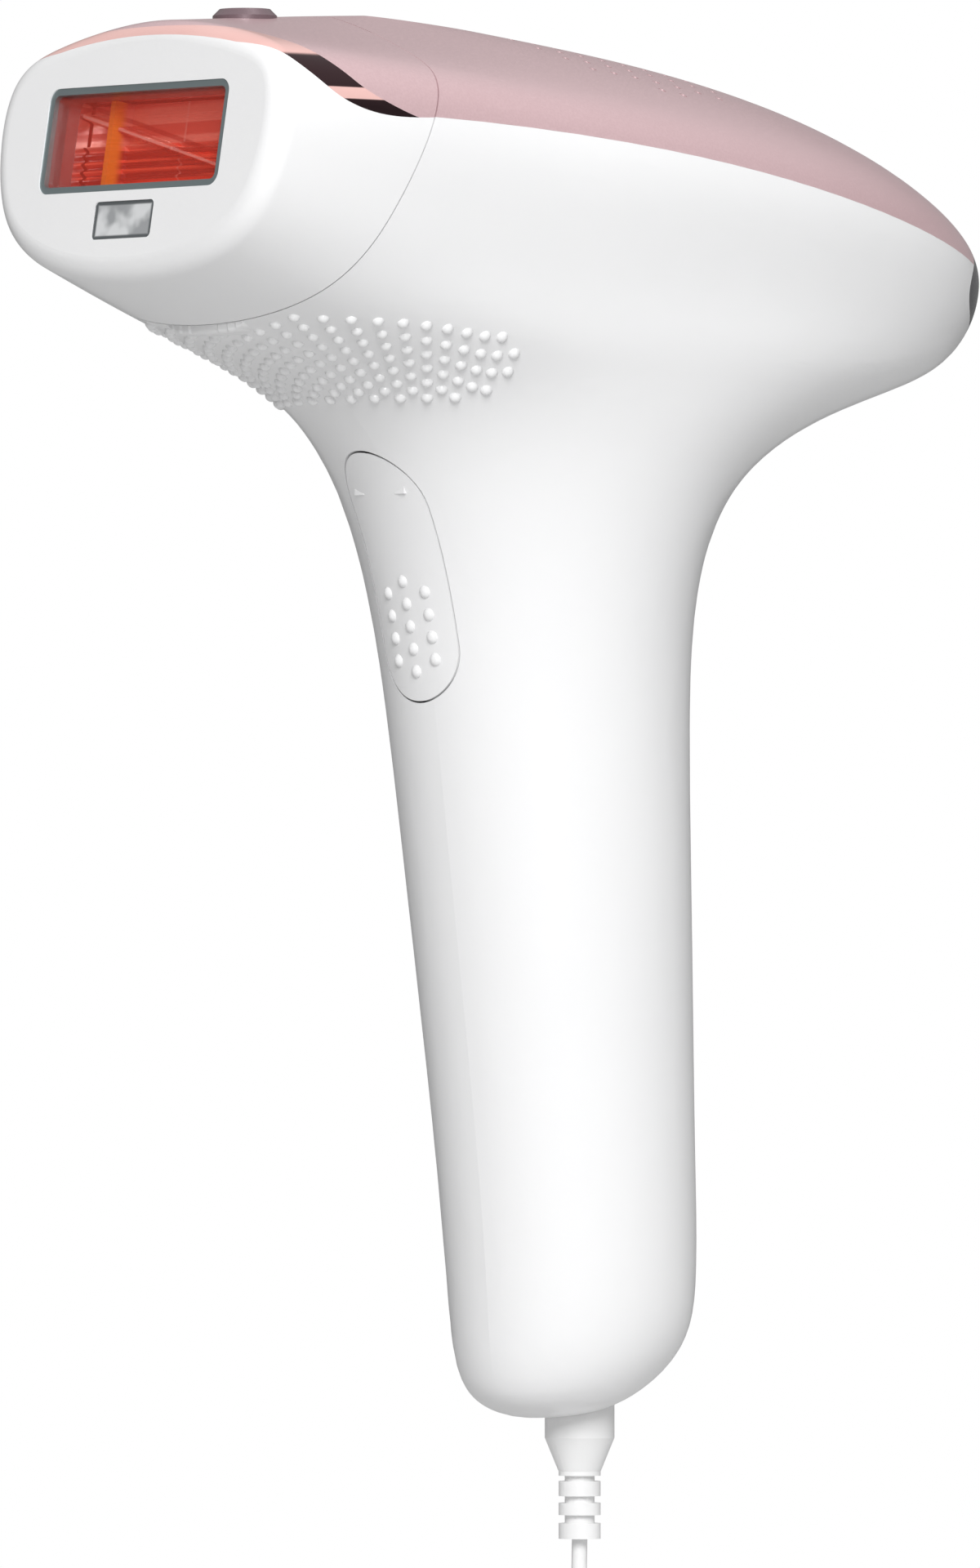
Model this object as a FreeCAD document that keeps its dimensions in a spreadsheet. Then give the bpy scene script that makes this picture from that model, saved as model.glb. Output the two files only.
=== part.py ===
"""Mains-fed light epilator: a T-shaped hand piece with a pull-off nose.

FreeCAD 1.1 macro.  Millimetres, +Z up, +X towards the nose, +Y to the user's left.
Drawing heights are counted from the lowest point of the handle.  The last step moves every
sub-part down by the cell grip_height, so that the exported origin is the middle of the grip.
"""
import FreeCAD, Part
import math
import os
import Sketcher
from FreeCAD import Placement, Rotation, Vector

doc = FreeCAD.newDocument("LightEpilator")
sheet = doc.addObject("Spreadsheet::Sheet", "Sizes")
sub_parts = []

# ---------------------------------------------------------------- driving dimensions
SIZES = (
    ("grip_height", 70.0, "middle of the grip above the end of the handle"),
    ("wall", 2.2, "thickness of the moulded shells"),
    ("part_gap", 0.28, "joint line between neighbouring shells"),
    ("seam_bottom_x", 74.6, "joint between nose and body, lower end"),
    ("seam_bottom_z", 158.0, ""),
    ("seam_middle_x", 62.3, "joint between nose and body, middle"),
    ("seam_middle_z", 180.0, ""),
    ("seam_top_x", 51.6, "joint between nose and body, upper end"),
    ("seam_top_z", 202.0, ""),
    ("lid_front_z", 188.6, "edge of the coloured lid at the seam"),
    ("lid_middle_z", 183.5, "edge of the coloured lid half way"),
    ("lid_rear_z", 171.9, "edge of the coloured lid at the tail"),
    ("face_x", 86.9, "flat nose face: point it passes through"),
    ("face_z", 187.0, ""),
    ("face_lean", 10.0, "lean of the nose face, degrees"),
    ("face_edge_radius", 3.6, "rounding of the nose face"),
    ("window_width", 39.6, "light window over its frame"),
    ("window_height", 15.7, ""),
    ("window_drop", 1.0, "centre of the window below the face point"),
    ("window_corner", 2.0, ""),
    ("frame_rim", 1.0, "width of the window frame"),
    ("frame_depth", 5.0, ""),
    ("glass_thick", 2.0, "filter glass"),
    ("glass_set_back", 1.0, "filter glass behind the nose face"),
    ("tunnel_length", 18.5, "mirror tunnel behind the window frame"),
    ("tunnel_wall", 0.8, ""),
    ("sensor_width", 13.0, "skin tone sensor window"),
    ("sensor_height", 5.6, ""),
    ("sensor_drop", 13.2, "centre of the sensor window below the face point"),
    ("tab_radius", 4.7, "round grip tab on the nose cap"),
    ("tab_height", 3.6, ""),
    ("tab_foot_z", 201.7, ""),
    ("tab_x", 65.7, ""),
    ("trigger_low", 105.0, "lower end of the flash button"),
    ("trigger_high", 141.7, "upper end of the flash button"),
    ("trigger_half_width", 8.25, ""),
    ("trigger_gap", 0.3, ""),
    ("pivot_x", 34.2, "flash button pivot"),
    ("pivot_z", 137.4, ""),
    ("pivot_radius", 1.2, ""),
    ("pivot_half_length", 10.5, ""),
    ("stem_z", 113.0, "height of the button stem and of the switch plunger"),
    ("vent_radius", 0.55, "air holes in the lid"),
    ("vent_pitch", 4.2, ""),
    ("tail_panel_half_width", 15.5, "dark panel on the tail"),
    ("tail_panel_half_height", 7.6, ""),
    ("tail_panel_z", 168.2, ""),
    ("fan_side", 30.0, "square fan frame"),
    ("fan_thick", 8.0, ""),
    ("fan_x", 2.0, ""),
    ("fan_z", 182.0, "underside of the fan frame"),
    ("fan_bore", 13.8, ""),
    ("rotor_radius", 13.0, ""),
    ("hub_radius", 6.0, ""),
    ("board_thick", 1.6, "circuit boards"),
    ("board_z", 166.5, "underside of the main board"),
    ("lamp_radius", 2.5, "xenon flash tube"),
    ("lamp_half_length", 23.5, ""),
    ("lamp_back", 46.0, "flash tube behind the window, along the light path"),
    ("mirror_radius", 8.0, "trough mirror round the flash tube"),
    ("mirror_half_length", 20.0, ""),
    ("capacitor_radius", 12.5, "flash capacitor in the handle"),
    ("capacitor_length", 52.0, ""),
    ("capacitor_x", 3.0, ""),
    ("capacitor_z", 36.0, ""),
    ("plug_radius", 5.15, "moulded power plug"),
    ("plug_top", 3.0, "inner end of the plug inside its recess"),
    ("cord_radius", 1.15, "two-core low-voltage cord"),
    ("coil_inner_radius", 8.05, "cord wound for storage: five turns wide, four turns high"),
    ("coil_outer_radius", 19.55, ""),
    ("coil_height", 9.2, ""),
    ("coil_x", 46.0, ""),
    ("tie_thick", 0.5, "strap that holds the coil"),
    ("tie_width", 5.0, ""),
    ("floor_z", -76.0, "surface on which coil and adapter lie"),
    ("adapter_length", 56.0, "wall adapter"),
    ("adapter_width", 40.0, ""),
    ("adapter_height", 27.0, ""),
    ("adapter_front_x", -72.0, "face that carries the mains pins"),
    ("pin_radius", 2.0, "mains pins"),
    ("pin_length", 19.0, ""),
    ("pin_spacing", 19.0, ""),
)
size = {}
for row, (alias, number, note) in enumerate(SIZES, start=2):
    sheet.set(f"A{row}", alias)
    sheet.set(f"B{row}", str(number))
    sheet.set(f"C{row}", note)
    sheet.setAlias(f"B{row}", alias)
    size[alias] = number

# Stations of the skin: front point (x, z), rear point (x, z), half width and front fullness.
# The rear half of a section is half an ellipse; a fullness above 2 squares its front half.
STATIONS = (
    (7.0, 0.1, 2.2, 0.3, 1.8, 2.0),
    (11.6, 0.2, -3.9, 1.9, 7.0, 2.0),
    (17.2, 2.7, -11.0, 6.3, 12.8, 2.0),
    (19.6, 8.2, -16.0, 12.3, 16.0, 2.0),
    (20.5, 17.1, -17.5, 21.0, 17.4, 2.0),
    (22.7, 39.5, -16.9, 40.0, 18.4, 2.0),
    (27.4, 74.8, -15.8, 74.8, 19.9, 2.0),
    (31.5, 104.9, -14.8, 104.8, 21.5, 2.0),
    (35.1, 123.2, -16.2, 123.8, 23.5, 2.0),
    (40.3, 136.6, -22.9, 136.9, 25.9, 2.1),
    (48.3, 146.7, -35.8, 145.4, 28.1, 2.4),
    (60.2, 153.9, -50.7, 150.7, 29.6, 2.9),
    (77.5, 160.5, -64.3, 154.9, 30.7, 3.6),
    (99.5, 169.4, -73.2, 160.6, 31.3, 4.3),
    (117.5, 180.4, -76.7, 167.8, 32.6, 5.0),
    (122.0, 191.7, -75.1, 173.5, 33.2, 5.0),
    (116.2, 199.3, -68.7, 179.3, 31.3, 5.0),
    (104.2, 201.9, -56.4, 186.4, 25.7, 4.5),
    (84.8, 202.9, -37.0, 193.8, 16.8, 4.0),
    (60.4, 204.4, -9.5, 199.8, 7.5, 3.0),
    (43.0, 205.3, 20.0, 203.6, 1.8, 2.2),
)
COLUMNS = ("front_x", "front_z", "rear_x", "rear_z", "half_width", "fullness")
first_station_row = len(SIZES) + 4
for index, station in enumerate(STATIONS):
    row = first_station_row + index
    for letter, column, number in zip("BCDEFG", COLUMNS, station):
        sheet.set(f"{letter}{row}", str(number))
        sheet.setAlias(f"{letter}{row}", f"{column}_{index}")
doc.recompute()

Y_AXIS = Vector(0, 1, 0)
FAR = 400.0


# ---------------------------------------------------------------- small helpers
def cell(expression):
    """Prefix every alias of the sheet in an expression with the sheet's name."""
    words = []
    word = ""
    for letter in expression + " ":
        if letter.isalnum() or letter == "_":
            word += letter
            continue
        words.append(f"Sizes.{word}" if word in ALIASES else word)
        words.append(letter)
        word = ""
    return "".join(words).strip()


ALIASES = set(size) | {f"{name}_{i}" for name in COLUMNS for i in range(len(STATIONS))}


def at(x=0.0, y=0.0, z=0.0, axis=None, angle=0.0):
    """A placement from a point and, if needed, a turn about an axis in degrees."""
    turn = Rotation(axis, angle) if axis is not None else Rotation()
    return Placement(Vector(x, y, z), turn)


def box(name, length, width, height, x=0.0, y=0.0, z=0.0, frame=None):
    """A box given by its sizes and the middle of its lower face, in an optional frame."""
    made = doc.addObject("Part::Box", name)
    for prop, expression in (("Length", length), ("Width", width), ("Height", height)):
        if isinstance(expression, str):
            made.setExpression(prop, cell(expression))
        else:
            setattr(made, prop, expression)
    doc.recompute([made])
    corner = at(x - made.Length.Value / 2, y - made.Width.Value / 2, z)
    made.Placement = corner if frame is None else frame.multiply(corner)
    return made


def rod(name, radius, length, place):
    """A cylinder along the local Z axis of its placement."""
    made = doc.addObject("Part::Cylinder", name)
    for prop, expression in (("Radius", radius), ("Height", length)):
        if isinstance(expression, str):
            made.setExpression(prop, cell(expression))
        else:
            setattr(made, prop, expression)
    made.Placement = place
    return made


def cut(name, base, *tools):
    """Base minus the tools."""
    return boolean("Part::Cut", name, base, together(f"{name}_tools", tools))


def keep(name, base, tool):
    """What base and tool share."""
    return boolean("Part::Common", name, base, tool)


def boolean(kind, name, base, tool):
    made = doc.addObject(kind, name)
    made.Base = base
    made.Tool = tool
    return made


def together(name, pieces):
    """One piece, or the union of several."""
    if len(pieces) == 1:
        return pieces[0]
    made = doc.addObject("Part::MultiFuse", name)
    made.Shapes = list(pieces)
    return made


def group(name, pieces):
    """Equal or joined pieces that stay separate solids of one sub-part."""
    made = doc.addObject("Part::Compound", name)
    made.Links = list(pieces)
    return made


def sub_part(label, made):
    """Name a finished object as a sub-part, which is exported under that name."""
    made.Label = label
    sub_parts.append(made)
    return made


def prism(name, edges, direction):
    """A closed outline pushed along a direction."""
    made = doc.addObject("Part::Feature", name)
    face = Part.Face(Part.Wire(Part.__sortEdges__(edges)))
    made.Shape = face.extrude(direction)
    return made


def polyline(points):
    return [Part.makeLine(a, b) for a, b in zip(points, points[1:])]


def body_with_sketch(label, plane_role, offset=0.0):
    """A PartDesign body with one empty sketch on an origin plane."""
    body = doc.addObject("PartDesign::Body", f"{label}_body")
    sketch = body.newObject("Sketcher::SketchObject", f"{label}_sketch")
    plane = next(f for f in body.Origin.OriginFeatures if f.Role == plane_role)
    sketch.AttachmentSupport = [(plane, "")]
    sketch.MapMode = "FlatFace"
    sketch.AttachmentOffset = at(z=offset)
    return body, sketch


def bound_polygon(sketch, points):
    """A closed polygon whose corners are bound to expressions from the sketch's origin."""
    values = [(number_of(x), number_of(y)) for x, y in points]
    count = len(points)
    for i, (x, y) in enumerate(values):
        x2, y2 = values[(i + 1) % count]
        sketch.addGeometry(Part.LineSegment(Vector(x, y, 0), Vector(x2, y2, 0)), False)
    for i in range(count):
        sketch.addConstraint(Sketcher.Constraint("Coincident", i, 2, (i + 1) % count, 1))
    for i, (x, y) in enumerate(points):
        for kind, expression, value in (("DistanceX", x, values[i][0]),
                                        ("DistanceY", y, values[i][1])):
            if abs(value) < 1e-9:
                other = "Y" if kind == "DistanceX" else "X"
                axis = -2 if other == "Y" else -1
                sketch.addConstraint(Sketcher.Constraint("PointOnObject", i, 1, axis))
                continue
            index = sketch.addConstraint(Sketcher.Constraint(kind, -1, 1, i, 1, value))
            sketch.setExpression(f"Constraints[{index}]", cell(str(expression)))


def number_of(expression):
    """The present value of an expression of sheet cells."""
    if not isinstance(expression, str):
        return float(expression)
    return float(sheet.evalExpression(cell(expression)))


# ---------------------------------------------------------------- the skin
def natural_spline(knots, values):
    """A function of the knot parameter: the natural cubic spline through the values."""
    last = len(knots) - 1
    gaps = [b - a for a, b in zip(knots, knots[1:])]
    bends = [0.0] * (last + 1)
    diagonal, right = [1.0] * (last + 1), [0.0] * (last + 1)
    for i in range(1, last):
        diagonal[i] = 2 * (gaps[i - 1] + gaps[i])
        right[i] = 6 * ((values[i + 1] - values[i]) / gaps[i]
                        - (values[i] - values[i - 1]) / gaps[i - 1])
        if i > 1:
            factor = gaps[i - 1] / diagonal[i - 1]
            diagonal[i] -= factor * gaps[i - 1]
            right[i] -= factor * right[i - 1]
    for i in range(last - 1, 0, -1):
        bends[i] = (right[i] - gaps[i] * bends[i + 1]) / diagonal[i]

    def curve(where):
        i = min(max(sum(1 for k in knots if k <= where) - 1, 0), last - 1)
        ahead, behind = (knots[i + 1] - where) / gaps[i], (where - knots[i]) / gaps[i]
        swing = (ahead ** 3 - ahead) * bends[i] + (behind ** 3 - behind) * bends[i + 1]
        return ahead * values[i] + behind * values[i + 1] + swing * gaps[i] ** 2 / 6

    return curve


def blended(stations, steps):
    """Stations set closer along natural splines, with so many steps from one to the next."""
    knots = [0.0]
    for a, b in zip(stations, stations[1:]):
        knots.append(knots[-1] + math.dist(a, b) ** SPACING_POWER)
    curves = [natural_spline(knots, [s[k] for s in stations]) for k in range(len(COLUMNS))]
    marks = [a + (b - a) * j / steps for a, b in zip(knots, knots[1:]) for j in range(steps)]
    return [tuple(curve(mark) for curve in curves) for mark in marks + [knots[-1]]]


def pulled_in(points, depth):
    """Each point of a profile moved by depth to the left of the way the profile runs."""
    moved = []
    for i, point in enumerate(points):
        before, after = points[max(i - 1, 0)], points[min(i + 1, len(points) - 1)]
        dx, dz = after[0] - before[0], after[1] - before[1]
        length = math.hypot(dx, dz)
        moved.append((point[0] - depth * dz / length, point[1] + depth * dx / length))
    return moved


def under(stations, depth):
    """The stations of a skin that lies a given depth under the outer one."""
    front = pulled_in([(s[0], s[1]) for s in stations], depth)
    rear = pulled_in([(s[2], s[3]) for s in stations], -depth)
    sides = pulled_in([(s[4], (s[1] + s[3]) / 2) for s in stations], depth)
    inner = [(*f, *r, side[0], s[5]) for f, r, side, s in zip(front, rear, sides, stations)]
    lowest, highest = stations[0], stations[-1]
    bottom = (lowest[0], lowest[1] + depth, lowest[2], lowest[3] + depth, *lowest[4:])
    top = (highest[0], highest[1] - depth, highest[2], highest[3] - depth, *highest[4:])
    return [bottom] + inner[1:-1] + [top]


def skin_solid(name, stations):
    """A closed solid whose wall is one smooth surface with an elliptic ring of poles per station."""
    pull = 3 / (2 + math.cos(2 * math.pi / RING_POLES))
    rings = []
    for front_x, front_z, rear_x, rear_z, half_width, fullness in stations:
        ring = []
        for k in range(RING_POLES):
            angle = 2 * math.pi * k / RING_POLES
            power = fullness if math.cos(angle) > 0 else 2
            side = math.sqrt(1 - min(abs(math.cos(angle)), 1.0) ** power)
            along = pull * math.cos(angle) / 2
            aside = pull * math.copysign(side, math.sin(angle))
            ring.append(Vector((front_x + rear_x) / 2 + (front_x - rear_x) * along,
                               half_width * aside,
                               (front_z + rear_z) / 2 + (front_z - rear_z) * along))
        rings.append(ring)
    spans = len(rings) - SKIN_DEGREE
    end_mults = [SKIN_DEGREE + 1] + [1] * (spans - 1) + [SKIN_DEGREE + 1]
    surface = Part.BSplineSurface()
    surface.buildFromPolesMultsKnots(rings, end_mults, [1] * (RING_POLES + 1),
                                     list(range(spans + 1)), list(range(RING_POLES + 1)),
                                     False, True, SKIN_DEGREE, SKIN_DEGREE)
    wall = surface.toShape()
    ends = [surface.uIso(mark).toShape() for mark in (0, spans)]
    caps = [Part.Face(Part.Wire([end])) for end in ends]
    shell = Part.makeShell([wall] + caps)
    shell.sewShape()
    made = doc.addObject("Part::Feature", name)
    made.Shape = Part.makeSolid(Part.Shell(shell.Faces))
    return made


SPACING_POWER = 0.6
STEPS = 3
SKIN_DEGREE = 3
RING_POLES = 48
table = [tuple(sheet.get(f"{name}_{i}") for name in COLUMNS) for i in range(len(STATIONS))]
fine_stations = blended(table, STEPS)
skin = skin_solid("skin", fine_stations)
lining = skin_solid("lining", under(fine_stations, size["wall"]))
doc.recompute()


# ---------------------------------------------------------------- cutters shared by the shells
def across(points):
    """Points (x, z) of the XZ plane as vectors on the far right side of the device."""
    return [Vector(x, -HALF_FAR, z) for x, z in points]


def seam_region(name, shift):
    """Everything in front of the curved joint between body and nose, moved by shift in X."""
    low = (size["seam_bottom_x"] + shift, size["seam_bottom_z"])
    middle = (size["seam_middle_x"] + shift, size["seam_middle_z"])
    high = (size["seam_top_x"] + shift, size["seam_top_z"])
    start, through, end = across((low, middle, high))
    below, above = across(((low[0] + 8, low[1] - 7.5), (high[0] - 1.8, high[1] + 13)))
    far_above, far_below = across(((FAR, above.z), (FAR, below.z)))
    edges = [Part.Arc(start, through, end).toShape()]
    edges += polyline([end, above, far_above, far_below, below, start])
    return prism(name, edges, Y_AXIS * 2 * HALF_FAR)


def lid_region(name, lift):
    """Everything above the edge of the coloured lid."""
    front = (58.0, size["lid_front_z"] + lift)
    middle = (-5.0, size["lid_middle_z"] + lift)
    rear = (-67.0, size["lid_rear_z"] + lift)
    start, through, end = across((front, middle, rear))
    corners = across(((-FAR, rear[1] - 0.27 * (FAR - 67)), (-FAR, FAR), (FAR, FAR), (FAR, front[1])))
    edges = [Part.Arc(start, through, end).toShape()] + polyline([end] + corners + [start])
    return prism(name, edges, Y_AXIS * 2 * HALF_FAR)


def above_edge(name, points, tip_x):
    """Everything above a curved edge in side view that ends in an upright at its last point."""
    places = across(points)
    curve = Part.BSplineCurve()
    curve.interpolate(places)
    corners = across(((tip_x, FAR), (CAP_ROOT, FAR), (CAP_ROOT, points[0][1])))
    edges = [curve.toShape()] + polyline([places[-1]] + corners + [places[0]])
    return prism(name, edges, Y_AXIS * 2 * HALF_FAR)


def edges_where(shape, test):
    """Numbers of the edges of a shape that pass a test."""
    return [i for i, edge in enumerate(shape.Edges, start=1) if test(edge)]


def rounded(name, base, radius, test):
    """Base with the edges that pass a test rounded."""
    doc.recompute()
    made = doc.addObject("Part::Fillet", name)
    made.Base = base
    made.Edges = [(i, radius, radius) for i in edges_where(base.Shape, test)]
    return made


def lies_along(direction):
    """A test for straight edges along a direction."""
    def test(edge):
        if edge.Curve.TypeId != "Part::GeomLine":
            return False
        return edge.Curve.Direction.cross(direction).Length < 1e-6
    return test


def plate_x(name, depth, width, height, corner, frame, x, z=0.0):
    """A block across the light path with rounded corners, its front at local x."""
    block = box(f"{name}_block", depth, width, height, frame=frame,
                x=x - number_of(depth) / 2, z=z - number_of(height) / 2)
    direction = frame.Rotation.multVec(Vector(1, 0, 0))
    return rounded(name, block, number_of(corner), lies_along(direction))


def on_front(y, z):
    """X of the front of the skin at a side distance and a height of the handle or neck."""
    rows = [((s[1] + s[3]) / 2, s) for s in fine_stations]
    i = next(i for i, (height, s) in enumerate(rows) if height >= z)
    share = (z - rows[i - 1][0]) / (rows[i][0] - rows[i - 1][0])
    low, high = rows[i - 1][1], rows[i][1]
    front_x, rear_x, half_width = (low[k] + share * (high[k] - low[k]) for k in (0, 2, 4))
    middle = (front_x + rear_x) / 2
    return middle + (front_x - middle) * math.sqrt(1 - (y / half_width) ** 2)


def slot_x(name, half_width, low, high, x_from, x_to):
    """An upright stadium pushed along X: the outline of the flash button."""
    along_x = Rotation(Y_AXIS, 90)
    ends = [rod(f"{name}_{tag}", half_width, x_to - x_from, Placement(Vector(x_from, 0, z), along_x))
            for tag, z in (("low", low + half_width), ("high", high - half_width))]
    middle = box(f"{name}_middle", x_to - x_from, 2 * half_width, high - low - 2 * half_width,
                 x=(x_from + x_to) / 2, z=low + half_width)
    return together(name, ends + [middle])


HALF_FAR = 100.0
CAP_ROOT = 40.0
CAP_FRONT = 84.4
TRIM_LOWER_EDGE = ((50, 188.6), (58.6, 188.5), (64.2, 188.4), (68.1, 188.7), (72.4, 189.7),
                   (75.7, 191.2), (78.8, 193.5), (81.9, 196.2), (CAP_FRONT, 199.0))
TRIM_UPPER_EDGE = ((61, 188.4), (64.6, 189.6), (67.5, 190.8), (71.2, 192.8), (73.5, 194.7),
                   (75.7, 196.6), (77.6, 198.4), (79.8, 200.1), (82.2, 201.5), (CAP_FRONT, 202.4))

half_gap = size["part_gap"] / 2
wall = size["wall"]
face_frame = at(size["face_x"], 0, size["face_z"], Y_AXIS, -size["face_lean"])
light_frame = face_frame.multiply(at(z=-size["window_drop"]))


# ---------------------------------------------------------------- nose attachment
def nose_wall():
    """The hollow nose in front of the seam, with its flat face and its rounded rim."""
    def rim(edge):
        return abs(face_frame.inverse().multVec(edge.CenterOfMass).x) < 0.05

    def lining_rim(edge):
        return abs(face_frame.inverse().multVec(edge.CenterOfMass).x + wall) < 0.05

    behind = box("behind_face", FAR, FAR, FAR, x=-FAR / 2, z=-FAR / 2, frame=face_frame)
    solid = rounded("nose_solid", keep("nose_raw", skin, behind), size["face_edge_radius"], rim)
    behind_wall = box("behind_face_wall", FAR, FAR, FAR, x=-FAR / 2 - wall, z=-FAR / 2,
                      frame=face_frame)
    hollow = rounded("nose_hollow", keep("nose_hollow_raw", lining, behind_wall),
                     size["face_edge_radius"] - wall, lining_rim)
    front = keep("nose_front", solid, seam_region("nose_side", half_gap))
    return cut("nose_wall", front, hollow)


def build_nose():
    shell = nose_wall()
    above_trim_foot = above_edge("above_trim_foot", TRIM_LOWER_EDGE, CAP_FRONT)
    lead_in = ((CAP_ROOT + 5, 188.55),)
    above_trim = above_edge("above_trim", lead_in + TRIM_UPPER_EDGE, CAP_FRONT)
    width, height = "window_width", "window_height"
    opening = plate_x("window_opening", 12, width, height, "window_corner", light_frame, 4)
    sensor_hole = plate_x("sensor_hole", 8, "sensor_width", "sensor_height", 0.8, face_frame, 3,
                          z=-size["sensor_drop"])
    notch_place = at(size["seam_bottom_x"] + 1.5, 0, size["seam_bottom_z"] - 5.2)
    notch = doc.addObject("Part::Ellipsoid", "thumb_notch")
    notch.Radius1, notch.Radius2, notch.Radius3 = 6.5, 8.5, 9.5
    notch.Angle1, notch.Angle2, notch.Angle3 = -90, 90, 360
    notch.Placement = notch_place
    sub_part("nose_shell", cut("nose_shell_cut", shell, above_trim_foot, opening, sensor_hole, notch))
    upper = keep("nose_upper", shell, above_trim_foot)
    sub_part("accent_trim", cut("trim_cut", upper, above_trim))
    tab_seat = at(size["tab_x"], 0, 190.0)
    tab_hole = rod("tab_hole", "tab_radius", 40, tab_seat)
    sub_part("nose_cap", cut("cap_cut", keep("cap_upper", upper, above_trim), tab_hole))

    body, sketch = body_with_sketch("grip_tab", "XY_Plane")
    sketch.addGeometry(Part.Circle(Vector(size["tab_x"], 0, 0), Vector(0, 0, 1), 1), False)
    radius = sketch.addConstraint(Sketcher.Constraint("Radius", 0, size["tab_radius"]))
    sketch.setExpression(f"Constraints[{radius}]", cell("tab_radius"))
    sketch.addConstraint(Sketcher.Constraint("PointOnObject", 0, 3, -1))
    across_tab = sketch.addConstraint(Sketcher.Constraint("DistanceX", -1, 1, 0, 3, size["tab_x"]))
    sketch.setExpression(f"Constraints[{across_tab}]", cell("tab_x"))
    pad = body.newObject("PartDesign::Pad", "grip_tab_pad")
    pad.Profile = sketch
    pad.setExpression("Length", cell("tab_height"))
    doc.recompute()
    bevel = body.newObject("PartDesign::Chamfer", "grip_tab_bevel")
    top = [f"Edge{i}" for i in edges_where(pad.Shape, lambda e: e.BoundBox.ZMin > 1)]
    bevel.Base = (pad, top)
    bevel.Size = 1.0
    body.Tip = bevel
    body.Placement = at(z=size["tab_foot_z"])
    sub_part("grip_tab", body)

    rim = size["frame_rim"]
    inner_width, inner_height = f"{width} - 2*frame_rim", f"{height} - 2*frame_rim"
    ring = plate_x("frame_outer", "frame_depth", width, height, "window_corner", light_frame, -0.2)
    hole = plate_x("frame_hole", 12, inner_width, inner_height, size["window_corner"] - rim,
                   light_frame, 4)
    sub_part("window_frame", cut("frame_cut", ring, hole))
    sub_part("filter_glass", plate_x("glass_plate", "glass_thick", inner_width, inner_height,
                                     size["window_corner"] - rim, light_frame,
                                     -size["glass_set_back"]))
    tunnel_front = -0.2 - size["frame_depth"]
    tube = plate_x("tunnel_outer", "tunnel_length", width, height, 1.6, light_frame, tunnel_front)
    bore = plate_x("tunnel_bore", 60, f"{width} - 2*tunnel_wall", f"{height} - 2*tunnel_wall", 0.8,
                   light_frame, 20)
    sub_part("mirror_tunnel", cut("tunnel_cut", tube, bore))
    sub_part("sensor_window", plate_x("sensor_plate", 2.4, "sensor_width", "sensor_height", 0.8,
                                      face_frame, -0.2, z=-size["sensor_drop"]))
    board = box("sensor_board_plate", 1.2, 14, 6, frame=face_frame, x=-3.4, z=-15.6)
    sub_part("sensor_board", board)
    clips = [box(f"clip_{side}", 26, 1.6, 6, frame=light_frame, x=-23, y=side * 24.2, z=-3)
             for side in (-1, 1)]
    sub_part("nose_clips", group("clips", clips))
    code_block = box("code_block", 4, 14, 3, frame=light_frame, x=-20.2, z=-10.85)
    sub_part("coding_block", code_block)


build_nose()


# ---------------------------------------------------------------- body shells
def stadium(name, gap):
    return slot_x(name, size["trigger_half_width"] - gap, size["trigger_low"] + gap,
                  size["trigger_high"] - gap, 15.0, 70.0)


def pivot_rod(name, clearance):
    place = Placement(Vector(size["pivot_x"], -size["pivot_half_length"], size["pivot_z"]),
                      Rotation(Vector(1, 0, 0), -90))
    return rod(name, size["pivot_radius"] + clearance, 2 * size["pivot_half_length"], place)


def tail_panel_prism(name):
    """The oval outline of the tail panel pushed along X from behind the device."""
    ellipse = Part.Ellipse(Vector(0, 0, 0), size["tail_panel_half_width"],
                           size["tail_panel_half_height"])
    edge = ellipse.toShape()
    edge.Placement = Placement(Vector(-90, 0, size["tail_panel_z"]),
                               Rotation(Vector(0, 1, 0), Vector(0, 0, 1), Vector(1, 0, 0), "ZXY"))
    return prism(name, [edge], Vector(32, 0, 0))


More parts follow.
